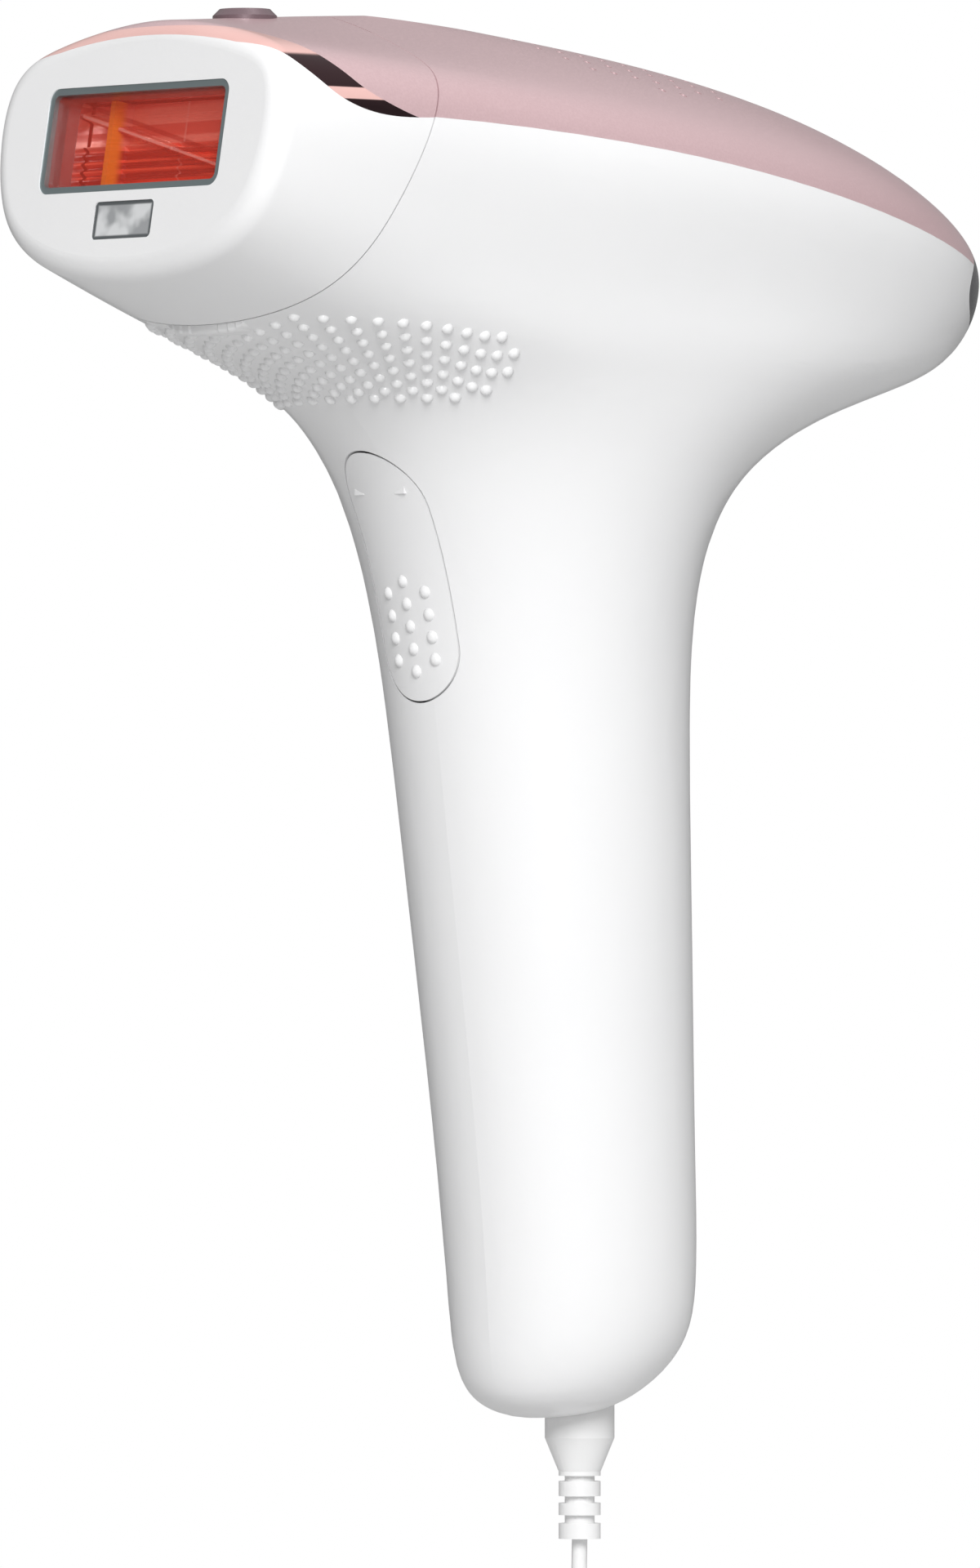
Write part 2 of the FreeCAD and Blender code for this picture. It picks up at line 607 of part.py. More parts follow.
def build_body_shells():
    behind_seam = cut("body_solid", skin, seam_region("body_side", -half_gap))
    body_wall = cut("body_wall", behind_seam, lining)
    panel_prism = tail_panel_prism("panel_prism")
    panel_blank = keep("panel_blank", body_wall, panel_prism)
    above = lid_region("above_edge", 0)

    bosses = [box(f"pivot_boss_{side}", 16, 2.2, 5, x=size["pivot_x"] + 5, y=side * 9.9,
                  z=size["pivot_z"] - 2.5) for side in (-1, 1)]
    boss = keep("pivot_bosses", skin, together("pivot_boss_pair", bosses))
    plug_recess = rod("plug_recess", "plug_radius + 0.15", 10, at(z=-5))
    white = cut("white_wall", body_wall, above, panel_prism, stadium("button_hole", 0), plug_recess)
    housing = cut("housing_cut", together("housing_joined", [white, boss]),
                  pivot_rod("boss_bore", 0))
    sub_part("housing", housing)

    holes = []
    step, row_step = size["vent_pitch"], size["vent_pitch"] * math.sqrt(3) / 2
    for row in range(-VENT_ROWS, VENT_ROWS + 1):
        for place in range(-VENT_ROWS, VENT_ROWS + 1):
            x, y = (place + row % 2 / 2) * step, row * row_step
            if math.hypot(x, y * VENT_OVAL) < VENT_FIELD:
                holes.append(rod(f"vent_{len(holes)}", "vent_radius", 40,
                                 at(x + VENT_CENTRE_X, y, 180)))
    coloured = cut("lid_wall", keep("lid_above", body_wall, above), panel_prism)
    sub_part("top_cover", cut("top_cover_cut", coloured, group("vent_holes", holes)))

    along_x = Rotation(Y_AXIS, 90)
    button_hole = rod("power_hole", POWER_RADIUS + 0.15, 30,
                      Placement(Vector(-90, 0, POWER_Z), along_x))
    lights = [rod(f"light_{i}", LIGHT_RADIUS, 22, Placement(Vector(-90, y, LIGHT_Z), along_x))
              for i, y in enumerate((-7, -3.5, 0, 3.5, 7))]
    light_group = group("light_rods", lights)
    sub_part("tail_panel", cut("panel_cut", panel_blank, button_hole, light_group))
    sub_part("level_lights", keep("light_ends", skin, light_group))
    power = rod("power_rod", POWER_RADIUS, 21.0, Placement(Vector(-90, 0, POWER_Z), along_x))
    sub_part("power_button", keep("power_end", skin, power))
    sub_part("indicator_board", box("indicator_plate", 1.6, 16, 13, x=-66.4, z=161.5))


VENT_ROWS, VENT_FIELD, VENT_OVAL, VENT_CENTRE_X = 6, 22.5, 1.2, -2.0
POWER_RADIUS, POWER_Z = 2.6, 165.6
LIGHT_RADIUS, LIGHT_Z = 0.9, 171.8
build_body_shells()


# ---------------------------------------------------------------- flash button and its switch
def build_trigger():
    shell = cut("trigger_wall", keep("trigger_blank", skin, stadium("trigger_outline",
                                                                    size["trigger_gap"])), lining)
    lugs = [box(f"lug_{side}", 7.4, 2, 4, x=size["pivot_x"] + 1.7, y=side * 4.4,
                z=size["pivot_z"] - 2) for side in (-1, 1)]
    stem = rod("trigger_stem", 2, 3.0, Placement(Vector(28.5, 0, size["stem_z"]),
                                                 Rotation(Y_AXIS, 90)))
    bumps = []
    for column in (-1, 0, 1):
        count = 5 if column == 0 else 4
        for i in range(count):
            y = column * 3.9
            z = 109.7 + 3.3 * i + (0 if column == 0 else 1.65)
            bump = doc.addObject("Part::Sphere", f"trigger_bump_{len(bumps)}")
            bump.Radius = 1.1
            bump.Placement = at(on_front(y, z) - 0.45, y, z)
            bumps.append(bump)
    joined = together("trigger_joined", [shell] + lugs + [stem] + bumps)
    sub_part("flash_button", cut("trigger_bored", joined, pivot_rod("lug_bore", 0.1)))
    sub_part("pivot_pin", pivot_rod("pivot_pin_rod", 0))

    along_x = Rotation(Y_AXIS, 90)
    case = box("switch_case", 7, 6, 10, x=23.5, z=size["stem_z"] - 5)
    well = rod("switch_well", 1.1, 4, Placement(Vector(23.6, 0, size["stem_z"]), along_x))
    sub_part("micro_switch", cut("switch_cut", case, well))
    plunger = rod("plunger_rod", 1.0, 3.2, Placement(Vector(25.2, 0, size["stem_z"]), along_x))
    sub_part("switch_plunger", plunger)
    sub_part("switch_board", box("switch_plate", 1.6, 14, 36, x=19.2, z=87.0))


build_trigger()


# ---------------------------------------------------------------- light source
def build_light_source():
    back, radius = -size["lamp_back"], size["mirror_radius"]
    half, thick = size["mirror_half_length"], 0.8
    along_y = Rotation(Vector(1, 0, 0), -90)

    def axis_rod(name, rod_radius, y_from, y_to):
        local = Placement(Vector(back, y_from, 0), along_y)
        return rod(name, rod_radius, y_to - y_from, light_frame.multiply(local))

    def trough(name, inset, reach, extra):
        round_part = axis_rod(f"{name}_round", radius - inset, -half - extra, half + extra)
        lips = box(f"{name}_lips", reach, 2 * (half + extra), 2 * (radius - inset),
                   frame=light_frame, x=back + reach / 2, z=-(radius - inset))
        return together(name, [round_part, lips])

    mirror = cut("mirror_cut", trough("mirror_outer", 0, 9.0, 0), trough("mirror_bore", thick, 20, 5))
    sub_part("lamp_mirror", mirror)
    tube_half = size["lamp_half_length"]
    sub_part("flash_tube", axis_rod("flash_tube_rod", size["lamp_radius"], -tube_half, tube_half))
    caps = [axis_rod("cap_left", 3.4, tube_half, tube_half + 2.6),
            axis_rod("cap_right", 3.4, -tube_half - 2.6, -tube_half)]
    sub_part("tube_caps", group("caps", caps))

    plates = [box(f"lamp_plate_{side}", 17, 2, 18, frame=light_frame, x=back - 0.5,
                  y=side * (half + 1), z=-9) for side in (-1, 1)]
    feet = [box(f"lamp_foot_{side}", 8, 5, 1.6, x=40.5, y=side * 19.5,
                z=size["board_z"] + size["board_thick"]) for side in (-1, 1)]
    bar = box("lamp_bar", 2, 2 * half + 4, 10, frame=light_frame, x=back - radius - 1, z=-5)
    holder = cut("holder_cut", together("holder_joined", plates + feet + [bar]),
                 axis_rod("holder_bore", size["lamp_radius"], -40, 40))
    sub_part("lamp_holder", holder)

    band = cut("collar_band", seam_region("collar_rear", -4.0), seam_region("collar_front", -1.4))
    plate = keep("collar_plate", lining, band)
    spigot = plate_x("spigot_outer", 11, 44, 20, 2, light_frame, -24.2)
    light_hole = plate_x("light_hole", 60, "window_width - 2*tunnel_wall",
                         "window_height - 2*tunnel_wall", 0.8, light_frame, 0)
    clip_slots = [box(f"clip_slot_{side}", 40, 2.4, 6.8, frame=light_frame, x=-30,
                      y=side * 24.2, z=-3.4) for side in (-1, 1)]
    blank = together("collar_joined", [plate, spigot])
    sub_part("front_collar", cut("collar_cut", blank, light_hole, *clip_slots))


build_light_source()


# ---------------------------------------------------------------- electronics, fan, handle
def build_electronics():
    top = size["board_z"] + size["board_thick"]
    body, sketch = body_with_sketch("main_board", "XY_Plane")
    half_length, half_width = MAIN_BOARD[0] / 2, MAIN_BOARD[1] / 2
    corners = ((MAIN_BOARD_X - half_length, -half_width), (MAIN_BOARD_X + half_length, -half_width),
               (MAIN_BOARD_X + half_length, half_width), (MAIN_BOARD_X - half_length, half_width))
    bound_polygon(sketch, corners)
    pad = body.newObject("PartDesign::Pad", "main_board_pad")
    pad.Profile = sketch
    pad.setExpression("Length", cell("board_thick"))
    body.Tip = pad
    body.Placement = at(z=size["board_z"])
    sub_part("main_board", body)

    posts = [rod(f"post_{i}", 2.4, 30, at(x, y, size["board_z"] - 30))
             for i, (x, y) in enumerate(BOARD_POSTS)]
    sub_part("board_posts", keep("post_ends", lining, group("post_rods", posts)))
    screws = [rod(f"screw_{i}", 2.2, 1.4, at(x, y, top)) for i, (x, y) in enumerate(BOARD_POSTS)]
    sub_part("board_screws", group("screws", screws))

    core = box("transformer_core", 18, 14, 15, x=-32, z=top)
    winding = rod("transformer_winding", 8.4, 9, at(-32, 0, top + 3))
    sub_part("charging_transformer", together("transformer", [core, winding]))
    chips = [box(f"chip_{i}", a, b, h, x=x, y=y, z=top)
             for i, (x, y, a, b, h) in enumerate(CHIPS)]
    sub_part("board_chips", group("chips", chips))

    fins = [box("sink_base", 11, 30, 2.4, x=24, z=top)]
    fins += [box(f"sink_fin_{i}", 11, 1.2, 11, x=24, y=-14.4 + 3.2 * i, z=top + 2)
             for i in range(10)]
    sub_part("heat_sink", together("sink", fins))

    fan = (size["fan_x"], 0)
    side = size["fan_side"]
    frame_box = box("fan_box", "fan_side", "fan_side", "fan_thick", x=fan[0], z=size["fan_z"])
    bore = rod("fan_bore_rod", "fan_bore", 20, at(fan[0], 0, size["fan_z"] - 5))
    legs = [rod(f"fan_leg_{i}_{j}", 1.8, size["fan_z"] - top, at(fan[0] + i * (side / 2 - 2.4),
                                                                j * (side / 2 - 2.4), top))
            for i in (-1, 1) for j in (-1, 1)]
    struts = [box(f"fan_strut_{i}", side, 1.6, 1.2, frame=at(fan[0], 0, size["fan_z"], Vector(0, 0, 1),
                                                            45 + 90 * i)) for i in range(2)]
    hub_seat = rod("fan_hub_seat", "hub_radius", 1.6, at(fan[0], 0, size["fan_z"]))
    ring = cut("fan_ring", frame_box, bore)
    sub_part("fan_frame", together("fan_joined", [ring, hub_seat] + legs + struts))
    rotor_z = size["fan_z"] + 2.0
    hub = rod("rotor_hub", "hub_radius", 5.2, at(fan[0], 0, rotor_z))
    blades = []
    for i in range(FAN_BLADES):
        turn = at(fan[0], 0, rotor_z + 2.6, Vector(0, 0, 1), 360 / FAN_BLADES * i)
        pitched = turn.multiply(Placement(Vector(), Rotation(Vector(1, 0, 0), 35)))
        reach = size["rotor_radius"] - 4.6
        blades.append(box(f"blade_{i}", reach, 5.4, 0.8, frame=pitched, x=5 + reach / 2 - 0.4, z=-0.4))
    sub_part("fan_rotor", together("rotor", [hub] + blades))


def build_handle():
    axis_x, low = size["capacitor_x"], size["capacitor_z"]
    can = rod("capacitor_can", "capacitor_radius", "capacitor_length", at(axis_x, 0, low))
    sub_part("flash_capacitor", can)
    slabs = [box(f"support_slab_{i}", 80, 80, 3, z=z) for i, z in enumerate((44.0, 84.0))]
    rings = keep("support_rings", lining, group("support_slabs", slabs))
    wires = rod("wire_way", 2.0, 90, at(axis_x - 14.6, 0, 20))
    can_hole = rod("capacitor_hole", "capacitor_radius", 90, at(axis_x, 0, 20))
    sub_part("capacitor_supports", cut("supports_cut", rings, can_hole, wires))

    seat = size["plug_top"]
    blank = keep("socket_blank", lining, rod("socket_rod", 6.5, 16, at(z=seat)))
    barrel_bore = rod("socket_bore", 2.85, 10, at(z=seat - 0.5))
    pin_bore = rod("socket_pin_bore", 1.0, 30, at(z=seat))
    sub_part("power_socket", cut("socket_cut", blank, barrel_bore, pin_bore))
    pin = rod("socket_pin", 1.0, 15.0, at(z=seat + 1))
    tags = [box(f"socket_tag_{side}", 0.6, 2.4, 5, y=side * 3.6, z=seat + 16) for side in (-1, 1)]
    sub_part("socket_contacts", group("socket_metal", [pin] + tags))
    slab = keep("socket_slab", lining, box("socket_slab_box", 60, 60, 3, z=14.0))
    sub_part("socket_support", cut("socket_support_cut", slab, rod("socket_way", 6.5, 30, at(z=5))))


MAIN_BOARD, MAIN_BOARD_X = (90.0, 37.0), -1.0
BOARD_POSTS = ((-43.0, -13.0), (-43.0, 13.0), (32.0, -15.0), (32.0, 15.0))
CHIPS = ((-18, 12, 8, 8, 2), (-18, -8, 9, 7, 2.4), (2, 3, 9, 9, 1.6), (6, -12, 5, 5, 6),
         (5, 12, 6, 4, 3), (-43.5, 5, 4, 6, 5))
FAN_BLADES = 7
build_electronics()
build_handle()


# ---------------------------------------------------------------- power lead and wall adapter
def build_plug():
    top = size["plug_top"]
    neck, core = 3.1, 2.2
    outline = [("0", "plug_top"), ("plug_radius", "plug_top"), ("plug_radius", -3.0), (neck, -8.0),
               (neck, -8.6), (core, -8.6), (core, -9.4), (neck, -9.4), (neck, -11.6),
               (core, -11.6), (core, -12.6), (neck, -12.6), (neck, -14.4), (core, -14.4),
               (core, -15.6), (neck, -15.6), (neck, PLUG_END), ("0", PLUG_END)]
    body, sketch = body_with_sketch("power_plug", "XZ_Plane")
    bound_polygon(sketch, outline)
    turned = body.newObject("PartDesign::Revolution", "power_plug_turned")
    turned.Profile = sketch
    turned.ReferenceAxis = (sketch, ["V_Axis"])
    turned.Angle = 360
    body.Tip = turned
    sub_part("power_plug", body)
    tube = rod("barrel_tube", 2.75, 9.0, at(z=top))
    sub_part("plug_barrel", cut("barrel_cut", tube, rod("barrel_hole", 1.25, 20, at(z=top - 1))))


def cord_tube(label, points):
    """A round cord of straight runs joined by tangent arcs; prints the radii of its bends."""
    edges, radii, start = [], [], points[0]
    for before, corner, after in zip(points, points[1:], points[2:]):
        back, ahead = (before - corner), (after - corner)
        turn = math.pi - back.getAngle(ahead)
        reach = 0.45 * min(back.Length, ahead.Length)
        radii.append(reach / math.tan(turn / 2))
        first = corner + back.normalize() * reach
        last = corner + ahead.normalize() * reach
        middle_way = (back + ahead).normalize()
        sagitta = radii[-1] / math.cos(turn / 2) - radii[-1]
        edges.append(Part.makeLine(start, first))
        edges.append(Part.Arc(first, corner + middle_way * sagitta, last).toShape())
        start = last
    edges.append(Part.makeLine(start, points[-1]))
    wire = Part.Wire(edges)
    normal = (points[1] - points[0]).normalize()
    profile = Part.Wire([Part.makeCircle(size["cord_radius"], points[0], normal)])
    made = doc.addObject("Part::Feature", label)
    made.Shape = wire.makePipeShell([profile], True, True)
    area = math.pi * size["cord_radius"] ** 2
    print(label, "bend radii", [round(radius, 1) for radius in radii], "length",
          round(wire.Length, 1), "volume share", round(made.Shape.Volume / (area * wire.Length), 4))
    return sub_part(label, made)


def build_cord():
    lie = size["floor_z"] + size["cord_radius"]
    coil_x, outer = size["coil_x"], size["coil_outer_radius"] - size["cord_radius"]
    coil_z = size["floor_z"] + size["tie_thick"]
    upper = coil_z + size["coil_height"] - size["cord_radius"]
    first = [Vector(0, 0, PLUG_END), Vector(0, 0, -41), Vector(6, -4, -62), Vector(24, -13, lie),
             Vector(coil_x - 3, -outer, lie)]
    second = [Vector(coil_x - 3, outer, upper), Vector(coil_x - 15, outer - 0.4, lie + 4),
              Vector(coil_x - 29, 2, lie + 1), Vector(ADAPTER_CORD_X, 0, ADAPTER_CORD_Z)]
    cord_tube("cord", first)
    cord_tube("cord_end", second)
    ring = rod("coil_outside", "coil_outer_radius", "coil_height", at(coil_x, 0, coil_z))
    hole = rod("coil_inside", "coil_inner_radius", 40, at(coil_x, 0, coil_z - 5))
    sub_part("cord_coil", cut("coil_cut", ring, hole))

    inner, outer_edge = size["coil_inner_radius"] - TIE_SLACK, size["coil_outer_radius"]
    length, height = outer_edge - inner, size["coil_height"]
    middle_x = coil_x + (inner + outer_edge) / 2
    strap = box("strap", length + 2 * size["tie_thick"], "tie_width",
                height + 2 * size["tie_thick"], x=middle_x, z=size["floor_z"])
    inside = box("strap_inside", length, 20, height, x=middle_x, z=coil_z)
    sub_part("coil_tie", cut("strap_cut", strap, inside))


def build_adapter():
    floor, length = size["floor_z"], size["adapter_length"]
    front = size["adapter_front_x"]
    block = box("adapter_block", "adapter_length", "adapter_width", "adapter_height",
                x=front + length / 2, z=floor)
    case = rounded("adapter_case", block, 4.0, lies_along(Vector(1, 0, 0)))
    split = box("adapter_split", 8, 80, 80, x=front + 4, z=floor - 10)
    sub_part("adapter_body", cut("adapter_rear", case, split))
    middle_z = floor + size["adapter_height"] / 2
    backwards = Rotation(Y_AXIS, -90)
    sleeve_rods, pin_rods = [], []
    for side in (-1, 1):
        y = side * size["pin_spacing"] / 2
        tip = size["pin_length"]
        barrel = rod(f"pin_{side}", "pin_radius", tip,
                     Placement(Vector(front, y, middle_z), backwards))
        pin_rods.append(rounded(f"pin_round_{side}", barrel, 1.2,
                                lambda edge: edge.BoundBox.XMax < front - tip + 0.1))
    sub_part("mains_pins", group("pins", pin_rods))
    sub_part("adapter_cover", keep("adapter_front", case, split))
    relief = doc.addObject("Part::Cone", "adapter_relief")
    relief.Radius1, relief.Radius2, relief.Height = 3.4, 1.8, RELIEF_LENGTH
    relief.Placement = Placement(Vector(front + length, 0, ADAPTER_CORD_Z), Rotation(Y_AXIS, 90))
    sub_part("adapter_relief", relief)


TIE_SLACK = 0.6
PLUG_END = -17.9
RELIEF_LENGTH = 20.0
ADAPTER_CORD_Z = size["floor_z"] + 6.0
ADAPTER_CORD_X = size["adapter_front_x"] + size["adapter_length"] + RELIEF_LENGTH
build_plug()
build_cord()
build_adapter()


# ---------------------------------------------------------------- move, check and write
doc.recompute()
for piece in sub_parts:
    lowered = at(z=-size["grip_height"]).multiply(piece.Placement)
    piece.Placement = lowered
doc.recompute()
for thing in doc.Objects:
    bad = {"Invalid", "Error"} & set(thing.State)
    if bad:
        raise RuntimeError(f"{thing.Name} ({thing.Label}) is {bad}")
os.makedirs("parts", exist_ok=True)
for piece in sub_parts:
    shape = piece.Shape
    if shape.isNull() or not shape.isValid() or not shape.Solids:
        raise RuntimeError(f"{piece.Label} has no valid solid")
    shape.exportStep(f"parts/{piece.Label}.step")
print(len(sub_parts), "sub-parts written")
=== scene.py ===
# %% [markdown]
# A corded light epilator. The measured model comes in as a fixed frame: every part already has
# its place and its size. This lesson gives each part its finish, adds the moulded grip dots, winds
# the spare lead into a coil and lights it all. Lengths are in metres, +Z is up and +X is the nose.

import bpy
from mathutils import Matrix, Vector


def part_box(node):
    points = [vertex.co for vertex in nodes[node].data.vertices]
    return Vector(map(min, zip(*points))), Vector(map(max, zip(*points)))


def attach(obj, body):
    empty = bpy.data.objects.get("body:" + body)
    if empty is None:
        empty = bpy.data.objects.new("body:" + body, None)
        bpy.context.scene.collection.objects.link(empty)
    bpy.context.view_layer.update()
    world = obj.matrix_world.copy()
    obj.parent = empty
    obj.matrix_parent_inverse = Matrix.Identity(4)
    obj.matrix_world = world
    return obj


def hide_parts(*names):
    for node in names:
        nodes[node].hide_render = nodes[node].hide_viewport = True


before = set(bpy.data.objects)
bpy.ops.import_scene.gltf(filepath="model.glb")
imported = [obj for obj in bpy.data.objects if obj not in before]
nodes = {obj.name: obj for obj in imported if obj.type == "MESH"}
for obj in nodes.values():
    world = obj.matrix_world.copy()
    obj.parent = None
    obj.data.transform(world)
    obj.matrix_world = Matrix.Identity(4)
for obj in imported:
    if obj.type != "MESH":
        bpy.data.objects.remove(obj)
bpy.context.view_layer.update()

# %% Other modules
import math

import bmesh
import bpy
import numpy as np
from mathutils import Vector
from mathutils.bvhtree import BVHTree

scene = bpy.context.scene
print(len(nodes), "model parts")

# %% [markdown]
# The camera is the first thing to settle, because shapes can only be judged from a known place.
# A long lens far away keeps upright lines upright, as a catalogue picture has them. The camera
# looks at a point in the middle of the head and handle, a little from below.

# %% Camera
AZIMUTH, ELEVATION = math.radians(138.0), math.radians(-0.9)
DISTANCE, LENS = 2.5, 390.5
AIM = Vector((0.0178, 0.0, 0.0233))

back = Vector((math.sin(AZIMUTH) * math.cos(ELEVATION),
               -math.cos(AZIMUTH) * math.cos(ELEVATION), math.sin(ELEVATION)))
camera_data = bpy.data.cameras.new("camera")
camera_data.lens = LENS
camera_data.sensor_width = 36.0
camera_data.clip_start, camera_data.clip_end = 0.05, 100.0
camera = bpy.data.objects.new("camera", camera_data)
camera.location = AIM + back * DISTANCE
camera.rotation_mode = "QUATERNION"
camera.rotation_quaternion = (-back).to_track_quat("-Z", "Y")
scene.collection.objects.link(camera)
scene.camera = camera
print("camera at", tuple(round(v, 3) for v in camera.location))

# %% [markdown]
# Shader maths reads best as ordinary arithmetic. The class below wraps one socket of a material.
# Each operator adds a Math node and returns its result, so that `0.2 + 0.1 * grain` builds two
# nodes. Anything that isn't arithmetic goes through one method, `node`, which takes the node's
# type, its settings, and the values or links of its sockets.

# %% Shader expressions
class Socket:
    """One output of a node; arithmetic on it adds Math nodes to the same tree."""

    def __init__(self, tree, output):
        self.tree, self.output = tree, output

    def node(self, kind, sockets, result=0, **settings):
        """A new node: settings first, then its sockets, then one of its outputs."""
        return new_node(self.tree, kind, sockets, result, **settings)

    def math(self, operation, *values):
        sockets = dict(enumerate(values))
        return self.node("ShaderNodeMath", sockets, operation=operation)

    def __add__(self, other): return self.math("ADD", self, other)
    def __radd__(self, other): return self.math("ADD", other, self)
    def __sub__(self, other): return self.math("SUBTRACT", self, other)
    def __rsub__(self, other): return self.math("SUBTRACT", other, self)
    def __mul__(self, other): return self.math("MULTIPLY", self, other)
    def __rmul__(self, other): return self.math("MULTIPLY", other, self)
    def __truediv__(self, other): return self.math("DIVIDE", self, other)
    def __abs__(self): return self.math("ABSOLUTE", self)

    def larger(self, other):
        """The larger of two values, which joins two masks."""
        return self.math("MAXIMUM", self, other)

    def span(self, low, high):
        """0 below low, 1 above high, with a smooth step between."""
        sockets = {"Value": self, "From Min": low, "From Max": high}
        return self.node("ShaderNodeMapRange", sockets, interpolation_type="SMOOTHSTEP")


def new_node(tree, kind, sockets, result=0, **settings):
    """Add a node to a tree, fill or link its sockets, and wrap one of its outputs."""
    made = tree.nodes.new(kind)
    for name, value in settings.items():
        setattr(made, name, value)
    for name, value in sockets.items():
        if isinstance(value, Socket):
            tree.links.new(value.output, made.inputs[name])
        else:
            made.inputs[name].default_value = value
    return Socket(tree, made.outputs[result])


# %% [markdown]
# A material starts with a Principled shader. A thin class around it offers the few patterns that
# this device needs: noise, cells, one coordinate, a mix of two colours and a bump. It also puts
# the material on pieces, so that each finish below reads as a short recipe.

# %% A finish is a material with named helpers
class Finish:
    """A material around one Principled shader. Constants go on the shader's own sockets."""

    def __init__(self, name, colour, roughness, metallic=0.0, **constants):
        self.material = bpy.data.materials.new(name)
        self.material.use_nodes = True
        self.tree = self.material.node_tree
        self.shader = self.tree.nodes["Principled BSDF"]
        self.set(Base_Color=(*colour, 1.0), Roughness=roughness, Metallic=metallic, **constants)
        self.place = new_node(self.tree, "ShaderNodeTexCoord", {}, "Object")

    def set(self, **sockets):
        """Values or links for the shader's sockets; an underscore stands for a space."""
        for name, value in sockets.items():
            socket = self.shader.inputs[name.replace("_", " ")]
            if isinstance(value, Socket):
                self.tree.links.new(value.output, socket)
            else:
                socket.default_value = value
        return self

    def noise(self, per_metre, detail=2.0):
        """Soft noise from 0 to 1 with so many cells per metre."""
        sockets = {"Vector": self.place, "Scale": per_metre, "Detail": detail}
        return new_node(self.tree, "ShaderNodeTexNoise", sockets, "Fac")

    def cells(self, per_metre):
        """Distance to the nearest of scattered points, so many per metre."""
        sockets = {"Vector": self.place, "Scale": per_metre}
        return new_node(self.tree, "ShaderNodeTexVoronoi", sockets, "Distance")

    def axis(self, letter):
        """One of the three coordinates, in metres."""
        return new_node(self.tree, "ShaderNodeSeparateXYZ", {"Vector": self.place}, letter)

    def mix(self, factor, first, second):
        """A colour between two colours."""
        a = first if isinstance(first, Socket) else (*first[:3], 1.0)
        b = second if isinstance(second, Socket) else (*second[:3], 1.0)
        return new_node(self.tree, "ShaderNodeMix", {0: factor, 6: a, 7: b}, 2,
                        data_type="RGBA", clamp_factor=True)

    def bump(self, height, depth, strength=1.0):
        """Relief of a depth in metres, sent to the shader's normal."""
        sockets = {"Height": height, "Distance": depth, "Strength": strength}
        return self.set(Normal=new_node(self.tree, "ShaderNodeBump", sockets, "Normal"))

    def put_on(self, *names):
        """Give the finish to model parts, by name, or to new pieces."""
        for wearer in names:
            target = nodes[wearer] if isinstance(wearer, str) else wearer
            if target.material_slots:
                target.material_slots[0].material = self.material
            else:
                target.data.materials.append(self.material)
        print(self.material.name, "on", len(names), "pieces")
        return self


# %% [markdown]
# The shells are moulded ABS in a clean white. Real mouldings aren't perfectly even: the polish of
# the tool leaves slow changes of gloss, and a very fine orange peel breaks up reflections. Both are
# noise in Object coordinates, so that they run on across the joint from body to nose.

# %% White shells
white = Finish("gloss_white", (0.83, 0.83, 0.835), 0.3, Coat_Weight=0.35, Coat_Roughness=0.12,
               IOR=1.48)
cloud = white.noise(28.0, 3.0)
white.set(Roughness=0.26 + 0.1 * cloud,
          Base_Color=white.mix(cloud, (0.815, 0.815, 0.822), (0.85, 0.85, 0.853)))
white.bump(white.noise(1400.0, 2.0), 0.00003, 0.35)
white.put_on("housing", "nose_shell", "flash_button")

# %% [markdown]
# The lid and the cap over the nose are a pearl pink. Pearl paint holds tiny flakes that each catch
# the light in their own direction. Small Voronoi cells in the roughness and in the colour stand
# for them; they stay so small that the lid only shimmers.

# %% Pearl lid
pearl = Finish("satin_rose", (0.62, 0.43, 0.45), 0.34, 0.25, Coat_Weight=0.5,
               Coat_Roughness=0.16, IOR=1.5)
flake = pearl.cells(2600.0)
drift = pearl.noise(22.0, 2.0)
pearl.set(Base_Color=pearl.mix(flake * 0.5 + drift * 0.4, (0.60, 0.405, 0.425), (0.70, 0.50, 0.52)),
          Roughness=0.28 + 0.16 * flake)
pearl.bump(flake, 0.00002, 0.3)
pearl.put_on("top_cover", "nose_cap")

# %% [markdown]
# The swoosh under the cap is a vacuum-metallised strip, nearly a mirror in rose gold. A metal has
# no colour of its own apart from its reflections, so the tint sits in Base Color. The strip shows
# the dark room in most of its length, and light in two level bands: one high up, where it turns
# to the ceiling, and one just above its tip. Both bands are steps of height, mixed as colour.

# %% Rose gold strip and grip tab
gold = Finish("rose_gold", (0.80, 0.42, 0.35), 0.16, 1.0)
brushed = gold.noise(900.0, 3.0)
height = gold.axis("Z")
BAND_LOW, BAND_HIGH, SKY_FROM, EDGE, SOFT_EDGE = 0.1206, 0.1223, 0.1268, 0.0002, 0.0006
sky_light = height.span(SKY_FROM, SKY_FROM + SOFT_EDGE)
table_light = height.span(BAND_LOW, BAND_LOW + EDGE) * (1.0 - height.span(BAND_HIGH, BAND_HIGH + EDGE))
lit = sky_light + table_light
sweep = gold.mix(gold.noise(60.0), (0.86, 0.50, 0.46), (0.98, 0.64, 0.60))
gold.set(Roughness=0.12 + 0.1 * brushed, Metallic=1.0 - 0.7 * lit,
         Base_Color=gold.mix(lit, (0.10, 0.058, 0.064), sweep))
gold.put_on("accent_trim")

tab = Finish("mauve", (0.17, 0.115, 0.13), 0.36, 0.2, Coat_Weight=0.2)
tab.set(Roughness=0.3 + 0.15 * tab.noise(300.0))
tab.bump(tab.noise(2400.0), 0.00003, 0.4)
tab.put_on("grip_tab")

# %% [markdown]
# Round the light window sits a blue-grey metal frame. Behind the orange filter glass a mirror
# tunnel carries the flash. The glass stops every colour but orange and red. Its shader is partly
# see-through by its Alpha, so that light still reaches the tunnel and shows what is behind.

# %% Window frame and filter glass
steel = Finish("blue_steel", (0.27, 0.32, 0.33), 0.3, 0.7)
steel.set(Roughness=0.24 + 0.2 * steel.noise(700.0, 3.0))
steel.bump(steel.noise(1800.0), 0.00002, 0.4)
steel.put_on("window_frame")

